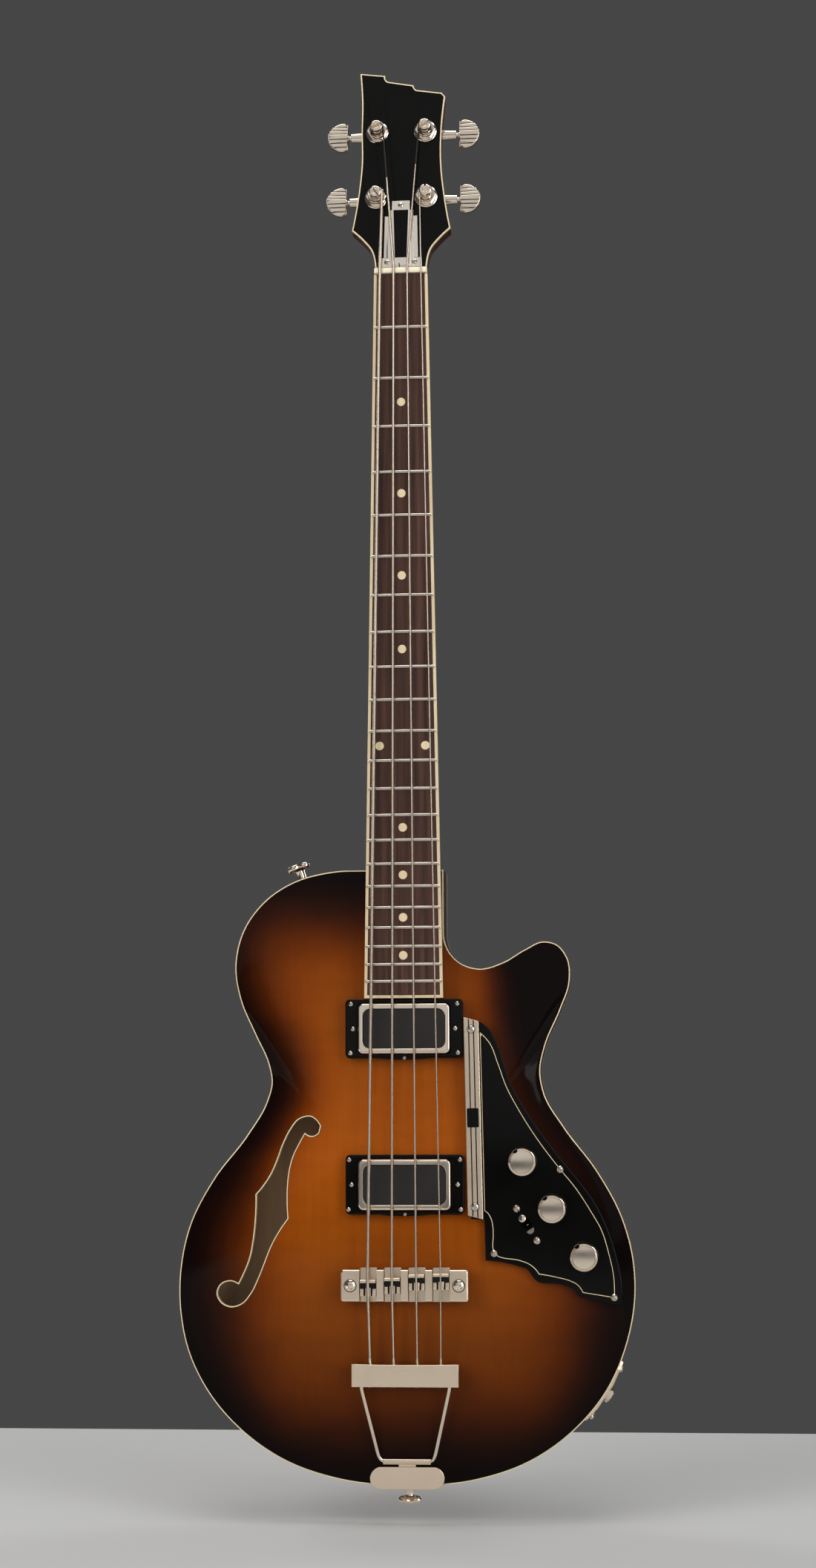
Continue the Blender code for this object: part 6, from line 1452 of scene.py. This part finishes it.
# Switch: a turned lever that comes through the slot, over a bright plate at the slot's lower end
leverSet = {
    "radius": 0.0015,
    "tip": 0.0029,
    "length": 0.0200,
    "pivot": 0.0115,
    "rest": math.radians(18.0),
    "ball": 0.0032,
    "plate": (0.0062, 0.0090, 0.0010),
    "plateAt": (-0.0076, 0),
    # Share of the tip's radius, and how far below the end
    "neck": ((1, 0.0016), (0.96, 0.0042), (0.80, 0.0068)),
}
switchFront = guardFront(switchMiddle[0])
tip, long, ball, stem = (leverSet[key] for key in ("tip", "length", "ball", "radius"))
crown, bulb = np.linspace(0, math.pi / 2, 8), np.linspace(0.45, math.pi, 14)
lever = [(tip * math.sin(a) ** 0.7, long - 0.0009 + 0.0009 * math.cos(a)) for a in crown]
lever += [(tip * share, long - fall) for share, fall in leverSet["neck"]]
lever += [(stem, long - 0.0082), (stem, ball * 0.94)]
lever += [(ball * math.sin(a), ball * math.cos(a)) for a in bulb]
leverFrame = onSwitch(switchFront + leverSet["pivot"]) @ spun(leverSet["rest"], "Y")
piece("lever_turned", lathe(leverFrame, lever, 40), nickelLook, "lever", "switch_lever", sharp=30)
plateLoop = roundBox(*leverSet["plate"], 4, leverSet["plateAt"])
piece("switch_plate", pad(onSwitch(switchFront + guardThick + 0.0015), plateLoop, 0.0006, 0.0002), nickelLook)
print("stage: switch")


# Bridge: a rounded bar, open pockets over a floor plate, and two cross-headed studs
bridgeSet = {
    "z": -0.7860,
    "size": (0.0968, 0.0242, 0.0085),
    "face": -0.0018,
    "round": 0.0018,
    "floor": 0.0042,
    "stud": 0.0410,
    "studRadius": 0.0058,
    "head": 0.0044,
    "saddleHalf": 0.0060,
    "saddleLength": 0.0125,
    "grub": (
        (0.0006, 0.0008), (0.0007, 0.0016), (0.0011, 0.0017), (0.0014, 0.0015), (0.0014, 0.0),
        (0.0006, 0.0),
    ),
    "grubX": 0.0037,
    "ring": ((0.0043, -0.0003), (0.0043, 0.00006), (0.00485, 0.00006), (0.0050, -0.0003)),
    # Half the width, front and rear depth, lower and upper end from the bridge's middle, and the round edge
    "pockets": (0.0066, -0.0118, 0.0046, -0.0200, 0.0200, 0.0001),
    "floors": (0.00625, 0.0044, 0.0046, -0.0123, 0.0132, 0.0002),
    "shadows": (0.00655, 0.0052, 0.0045, -0.0118, 0.0118, 0.0001),
    # Left and right side, how far behind the shelf and short of the crest, and the round edge
    "walls": (
        (-0.0060, -0.0033, 0.0, 0.0058, 0.0005),
        (0.0033, 0.0060, 0.0, 0.0058, 0.0005),
        (-0.0021, 0.0021, 0.0004, 0.0052, 0.0004),
    ),
}
width, height, depth = bridgeSet["size"]
bridgeZ, face, floor = bridgeSet["z"], bridgeSet["face"], bridgeSet["floor"]
rear = face + depth
pocketX = [stringX(index, bridgeZ) for index in range(4)]


# One box under each string
def underStrings(half, front, back, low, high, edge):
    return [sideBox(x - half, x + half, front, back, bridgeZ + low, bridgeZ + high, edge) for x in pocketX]


bar = pad(atFront(0, rear, bridgeZ), roundBox(width, height, 0.0022, 5), depth, bridgeSet["round"], 0.0008, 5)
pockets = underStrings(*bridgeSet["pockets"])
piece("bridge_bar", bar, satinNickelLook, stands="bridge_base", holes=pockets, sharp=28)
# Painted shade: the pocket floors are a darker copy of the nickel, and black plates a little wider behind
# them show as dark gaps at their sides
piece("bridge_floors", underStrings(*bridgeSet["floors"]), paintedShadeNickelLook)
piece("bridge_shadows", underStrings(*bridgeSet["shadows"]), satinLook)
studs, studHeads, studRings = [], [], []
r, head = bridgeSet["studRadius"], bridgeSet["head"]
for side in (-1, 1):
    x = side * bridgeSet["stud"]
    foot = topUnder([x], bridgeZ) - 0.0008
    stud = [(0, -rear + 0.001), (r, -rear + 0.0002), (r, -foot), (head, -foot - 0.0002)]
    stud += [(head, -foot - 0.018), (0, -foot - 0.018)]
    studs.append(lathe(atFront(x, 0, bridgeZ), stud, 40))
    studHeads.append(screw(atFront(x, face + 0.0002, bridgeZ), head, 0.0016, 0.6 + side * 0.2))
    studRings.append(lathe(atFront(x, face, bridgeZ), bridgeSet["ring"], 56))
piece("bridge_studs", studs, nickelLook)
piece("stud_heads", studHeads, nickelLook)
piece("stud_rings", studRings, satinLook)


def saddle(index, string):
    crestZ, x, half, floorY = crests[index], pocketX[index], bridgeSet["saddleHalf"], floor - 0.0003
    crestY = stringY(index, crestZ) + radii[index] + 0.0006
    shelf, rearZ = face + 0.0006, crestZ + 0.0010 - bridgeSet["saddleLength"]
    t = np.linspace(0, math.pi, 11)
    crest = [(crestZ - 0.0004 + 0.0014 * np.cos(a), crestY + 0.0012 - 0.0012 * math.sin(a)) for a in t]
    profile = np.array([(crestZ + 0.0010, floorY), *crest, (crestZ - 0.0018, floorY)])
    rings = []
    for dx, drop in ((-half, 0.0002), (-half + 0.0002, 0.0), (half - 0.0002, 0.0), (half, 0.0002)):
        depths = profile[:, 1] + drop * (profile[:, 1] < floorY - 0.001)
        rings.append(np.column_stack([np.full(len(profile), x + dx), depths, profile[:, 0]]))
    shapes = [ringShape(rings)]
    for left, right, behind, short, edge in bridgeSet["walls"]:
        shapes.append(sideBox(x + left, x + right, shelf + behind, floorY, rearZ, crestZ - short, edge))
    body, low, inner = f"saddle_{string}_body", floorY - 0.0002, half - 0.0002
    piece(f"saddle_block_{string}", shapes, satinNickelLook, body, f"saddle_{string}", sharp=30)
    # Painted shade: dark satin blocks fill the saddle's hollow and the wells round its two grub screws; the
    # grub screws are dark as well
    dark = [sideBox(x - inner, x + inner, shelf + 0.0022, low, rearZ + 0.0003, crestZ - 0.0010, 0.0001)]
    for side in (-1, 1):
        at, start, end = x + side * bridgeSet["grubX"], crestZ - 0.0057, crestZ - 0.0018
        dark.append(lathe(atFront(at, shelf + 0.0021, crestZ - 0.0038), bridgeSet["grub"], 20))
        dark.append(sideBox(at - 0.0021, at + 0.0021, shelf + 0.0012, low, start, end, 0.0002))
    piece(f"saddle_hollow_shade_{string}", dark, satinLook, body)


for index, string in enumerate(tunerPlaces):
    saddle(index, string)
print("stage: bridge")


# Tailpiece: a plain bar with a slightly hollow upper edge, a bent wire and a stadium-shaped bracket
tailSet = {
    "z": -0.85255,
    "size": (0.0806, 0.0170, 0.0086),
    "hollow": 0.0005,
    "recess": ((0, -0.002), (0.0031, -0.002), (0.0031, 0.0048), (0, 0.0048)),
    # Along the string, and how much wider than the string the collar is
    "collar": (
        (0.0, 0.0007), (0.0008, 0.0007), (0.0011, 0.0004), (0.0014, 0.0005), (0.0030, 0.00045),
        (0.0046, 0.0004), (0.0052, 0.0002), (0.0062, 0.00002),
    ),
    "wire": 0.0015,
    "topX": 0.0333,
    "lowX": 0.0213,
    "bendZ": -0.9135,
    "barrel": (0.0024, 0.0362, -0.9173),
    "plate": (0.0564, 0.0020),
    "tail": (0.0300, 0.0380),
    "end": -0.9360,
}
width, height, depth = tailSet["size"]
tailZ = tailSet["z"]
bottom = tailZ - height / 2
across = np.linspace(width / 2, -width / 2, 25)
upper = np.stack([across, height / 2 - tailSet["hollow"] * (1 - (2 * across / width) ** 2)], axis=1)
barLoop = np.concatenate([[(-width / 2, -height / 2), (width / 2, -height / 2)], upper])
tailBar = pad(atFront(0, tailY + depth / 2, tailZ), barLoop, depth, 0.0006, 0.0020, 4)
recesses, collars = [], []
along, wider = np.array(tailSet["collar"]).T
for index, x in enumerate(tailXs):
    recesses.append(lathe(shift(x, tailY, bottom), tailSet["recess"]))
    corners = stringCorners(index)
    way = corners[2] - corners[1]
    way /= np.linalg.norm(way)
    start = np.array([x, tailY, stringSet["tailTop"] - tailSet["hollow"] - 0.0002])
    collars.append(tube(start + way * along[:, None], radii[index] + wider))
piece("tail_bar", tailBar, satinNickelLook, stands="tailpiece_bar", holes=recesses, sharp=28)
piece("string_collars", collars, stringLook)

barrelR, barrelLong, barrelZ = tailSet["barrel"]
end = barrelLong / 2
barrelY = topUnder((-end, 0, end), barrelZ) - barrelR - seatGap
wireX, lowX, wire = tailSet["topX"], tailSet["lowX"], tailSet["wire"]
side = [(wireX, tailY, bottom + 0.0060), (wireX, tailY, bottom - 0.0010)]
side += [(lowX, tailY + (barrelY - tailY) * 0.93, tailSet["bendZ"]), (end + 0.0004, barrelY, barrelZ)]
path = withCorners(np.array(side + [(-x, y, z) for x, y, z in side[::-1]]), 0.0040)
piece("trapeze_wire", tube(path, wire), nickelLook, stands="trapeze", sharp=60)

plateWide, plateThick = tailSet["plate"]
plateY = topUnder((-plateWide / 2, 0, plateWide / 2), barrelZ - 0.004) - seatGap
outerZ = tailSet["end"] - seatGap
plateTop = barrelZ - barrelR - 0.0018
plateHigh = plateTop - outerZ + plateThick
stadium = roundBox(plateWide, plateHigh, plateHigh * 0.498, 16)
shapes = [pad(atFront(0, plateY, (plateTop + outerZ - plateThick) / 2), stadium, plateThick, 0.0006, 0.0003)]
wide, reach = tailSet["tail"]
underside = shift(0, plateY - plateThick / 2 + reach / 2, outerZ) @ spun(math.pi, "X")
shapes.append(pad(underside, roundBox(wide, reach, 0.0030, 6), plateThick, 0.0005))
bore, edge = wire + 0.0003, barrelR - 0.0003
barrel = [(bore, -end), (edge, -end), (barrelR, -end + 0.0003), (barrelR, end - 0.0003)]
barrel += [(edge, end), (bore, end), (bore, -end)]
shapes.append(lathe(shift(0, barrelY, barrelZ) @ spun(math.pi / 2, "Y"), barrel, 40))
web = roundBox(barrelLong * 0.36, 0.0050, 0.0004, 3)
shapes.append(pad(atFront(0, plateY, barrelZ - 0.0030), web, plateThick * 0.4, 0.0002))
piece("bracket_plate", shapes, satinNickelLook, stands="tail_bracket", sharp=32)
print("stage: tailpiece")


# Strap buttons. The disc's edge is knurled: r = R + a cos(n t)
strapSet = {
    "stem": 0.0037,
    "disc": 0.0087,
    "thick": 0.0045,
    "length": 0.0085,
    "screw": 0.0018,
    "y": 0.0420,
    "teeth": 64,
    "knurl": 0.00012,
    "upper": (-0.0830, -0.4740),
    "upperHeading": math.radians(109),
    "screwHead": (0.0030, 0.0010),
    "screwAt": 0.0124,
    "darkRing": (
        (0.0038, 0.0001), (0.0066, 0.0001), (0.0066, 0.0011), (0.0046, 0.0013), (0.0038, 0.0013),
        (0.0038, 0.0001),
    ),
}


def strapPeg(name, at, seatHeight, screwLength):
    stem = seatHeight + strapSet["length"]
    disc = stem + strapSet["thick"]
    big, small, bolt = strapSet["disc"], strapSet["stem"], strapSet["screw"]
    t = np.linspace(0, math.pi, 13)
    middle, half = (disc + stem) / 2, (disc - stem) / 2
    rim = [(big - 0.0013 + 0.0013 * math.sin(a), middle + half * math.cos(a)) for a in t]
    profile = [(0.0, disc - 0.0006), (0.0034, disc - 0.0006), (0.0038, disc), (big * 0.6, disc), *rim]
    profile += [(small + 0.0016, stem - 0.0001), (small + 0.0004, stem - 0.0009), (small, stem - 0.0020)]
    profile += [(small, seatHeight + 0.0018), (small + 0.0008, seatHeight + 0.0006)]
    profile += [(small + 0.0008, seatHeight), (bolt, seatHeight)]
    profile += [(bolt, seatHeight - screwLength), (0.0, seatHeight - screwLength)]
    points, faces = lathe(None, profile, strapSet["teeth"] * 4)
    radius = np.hypot(points[:, 0], points[:, 1])
    turn = np.arctan2(points[:, 1], points[:, 0])
    ridges = strapSet["knurl"] * np.cos(strapSet["teeth"] * turn) / np.maximum(radius, 1e-5)
    swell = 1 + (radius > big - 0.0011) * ridges
    peg = placed((points * np.stack([swell, swell, np.ones_like(swell)], axis=1), faces), at)
    piece(f"strap_peg_{name}", peg, nickelLook, stands=f"strap_button_{name}", sharp=34)


# A frame on the rim's outer face near a place, looking straight out
def rimFrame(place, heading):
    out = np.array([math.cos(heading), math.sin(heading)])
    start = np.array(place) - 0.02 * out
    x, z = start + out * reachOf(bodyLoop, start, np.array([heading]))[0]
    return shift(x, strapSet["y"], z) @ spun(-heading, "Y") @ spun(math.pi / 2, "Y")


lowFrame = shift(0, strapSet["y"], tailSet["end"]) @ spun(math.pi, "X")
upFrame = rimFrame(strapSet["upper"], strapSet["upperHeading"])
# Each peg also gets a dark ring round its stem where it meets the body
pegScrews, pegDarkRings = [], []
for name, at, seatHeight, screwLength, spin in (
    ("lower", lowFrame, plateThick + 0.0007, 0.022, 0.5),
    ("upper", upFrame, 0.00095, 0.014, 0.9),
):
    strapPeg(name, at, seatHeight, screwLength)
    spot = at @ shift(0, 0, seatHeight + strapSet["screwAt"])
    pegScrews.append(screw(spot, *strapSet["screwHead"], spin))
    pegDarkRings.append(lathe(at, [(r, seatHeight + height) for r, height in strapSet["darkRing"]], 40))
piece("peg_screws", pegScrews, steelLook)
piece("peg_dark_rings", pegDarkRings, satinLook)
print("stage: strap buttons")


# The plain metal and wooden nodes keep their own meshes
def dress(look, *names):
    for name in names:
        nodes[name].data.materials.clear()
        nodes[name].data.materials.append(look)


dress(creamLook, "fingerboard_binding")
dress(paintedLightInnerLook, "centre_block")
dress(steelLook, "truss_rod", *[f"potentiometer_{name}" for name in knobPlaces])
dress(satinLook, "switch_body")
dress(satinNickelLook, "jack_plate")
dress(nickelLook, "jack_socket")
jackSet = {"ends": ((0.1619, -0.8445), (0.1338, -0.8888)), "screws": (0.0208, 0.0098, 0.0014)}
run = np.subtract(*jackSet["ends"])
jackFrame = rimFrame(np.mean(jackSet["ends"], axis=0), math.atan2(-run[0], run[1]))
alongX, acrossX, forward = jackSet["screws"]
plateScrews = [
    screw(jackFrame @ shift(along * alongX, across * acrossX, forward), 0.0021, 0.0013, across + along)
    for across in (-1, 1)
    for along in (-1, 1)
]
piece("jack_screws", plateScrews, steelLook)
print("stage: carried nodes dressed")


# Camera at the photograph's place, soft lights and a plain floor
viewSet = {
    "place": (0.1653, -1.932, -0.636),
    "turns": (math.radians(4.766), math.radians(96.772), math.radians(-0.239)),
    "lens": 58.2,
    "frame": 36.0,
    "middle": (0.0, 0.0, -0.45),
    "floor": -0.966,
    "floorTone": (0.60, 0.60, 0.595),
    "worldTone": (0.062, 0.062, 0.062, 1.0),
    # Place, size, power, colour, and whether the light itself shows in reflections
    "lights": {
        "key": ((-2.0, -2.2, 0.5), (1.5, 2.6), 58, (1.0, 0.975, 0.945), False),
        "fill": ((2.1, -2.0, 0.2), (1.4, 2.6), 42, (0.98, 0.985, 1.0), True),
        "front": ((0.0, -4.4, 1.45), (3.4, 4.9), 26, (1.0, 1.0, 1.0), True),
        "overhead": ((0.0, -0.5, 1.9), (1.8, 1.2), 22, (1.0, 1.0, 1.0), True),
        "behind_left": ((-2.1, 1.8, 0.6), (1.2, 2.2), 26, (1.0, 1.0, 1.0), True),
        "behind_right": ((2.1, 1.8, 0.6), (1.2, 2.2), 22, (1.0, 1.0, 1.0), True),
    },
}


def addObject(name, data):
    made = bpy.data.objects.new(name, data)
    bpy.context.scene.collection.objects.link(made)
    return made


def makeCamera():
    data = bpy.data.cameras.new("camera")
    data.sensor_fit = "VERTICAL"
    data.sensor_width = data.sensor_height = viewSet["frame"]
    data.lens = viewSet["lens"]
    made = addObject("camera", data)
    yaw, pitch, roll = viewSet["turns"]
    made.matrix_world = shift(*viewSet["place"]) @ spun(yaw) @ spun(pitch, "X") @ spun(roll)
    bpy.context.scene.camera = made


def makeLight(name, place, size, power, colour, mirrored):
    data = bpy.data.lights.new(name, "AREA")
    data.shape = "RECTANGLE"
    data.energy, data.color = power, colour
    data.size, data.size_y = size
    made = addObject(name, data)
    made.location = place
    made.visible_glossy = mirrored
    made.rotation_euler = (Vector(viewSet["middle"]) - Vector(place)).to_track_quat("-Z", "Y").to_euler()


makeCamera()
for name, settings in viewSet["lights"].items():
    makeLight(name, *settings)
floorCorners = [(x, y, viewSet["floor"]) for x, y in ((-3, -3), (3, -3), (3, 0.55), (-3, 0.55))]
floorMesh = rawObject("floor", (np.array(floorCorners), [[0, 1, 2, 3]]))
floorLook = Look("plain_floor", "cream").set(Base_Color=viewSet["floorTone"], Roughness=0.85)
floorMesh.data.materials.append(floorLook)
world = bpy.data.worlds.new("studio")
bpy.context.scene.world = world
world.use_nodes = True
world.node_tree.nodes["Background"].inputs["Color"].default_value = viewSet["worldTone"]
world.node_tree.nodes["Background"].inputs["Strength"].default_value = 1.0
bpy.context.scene.view_settings.view_transform = "Standard"
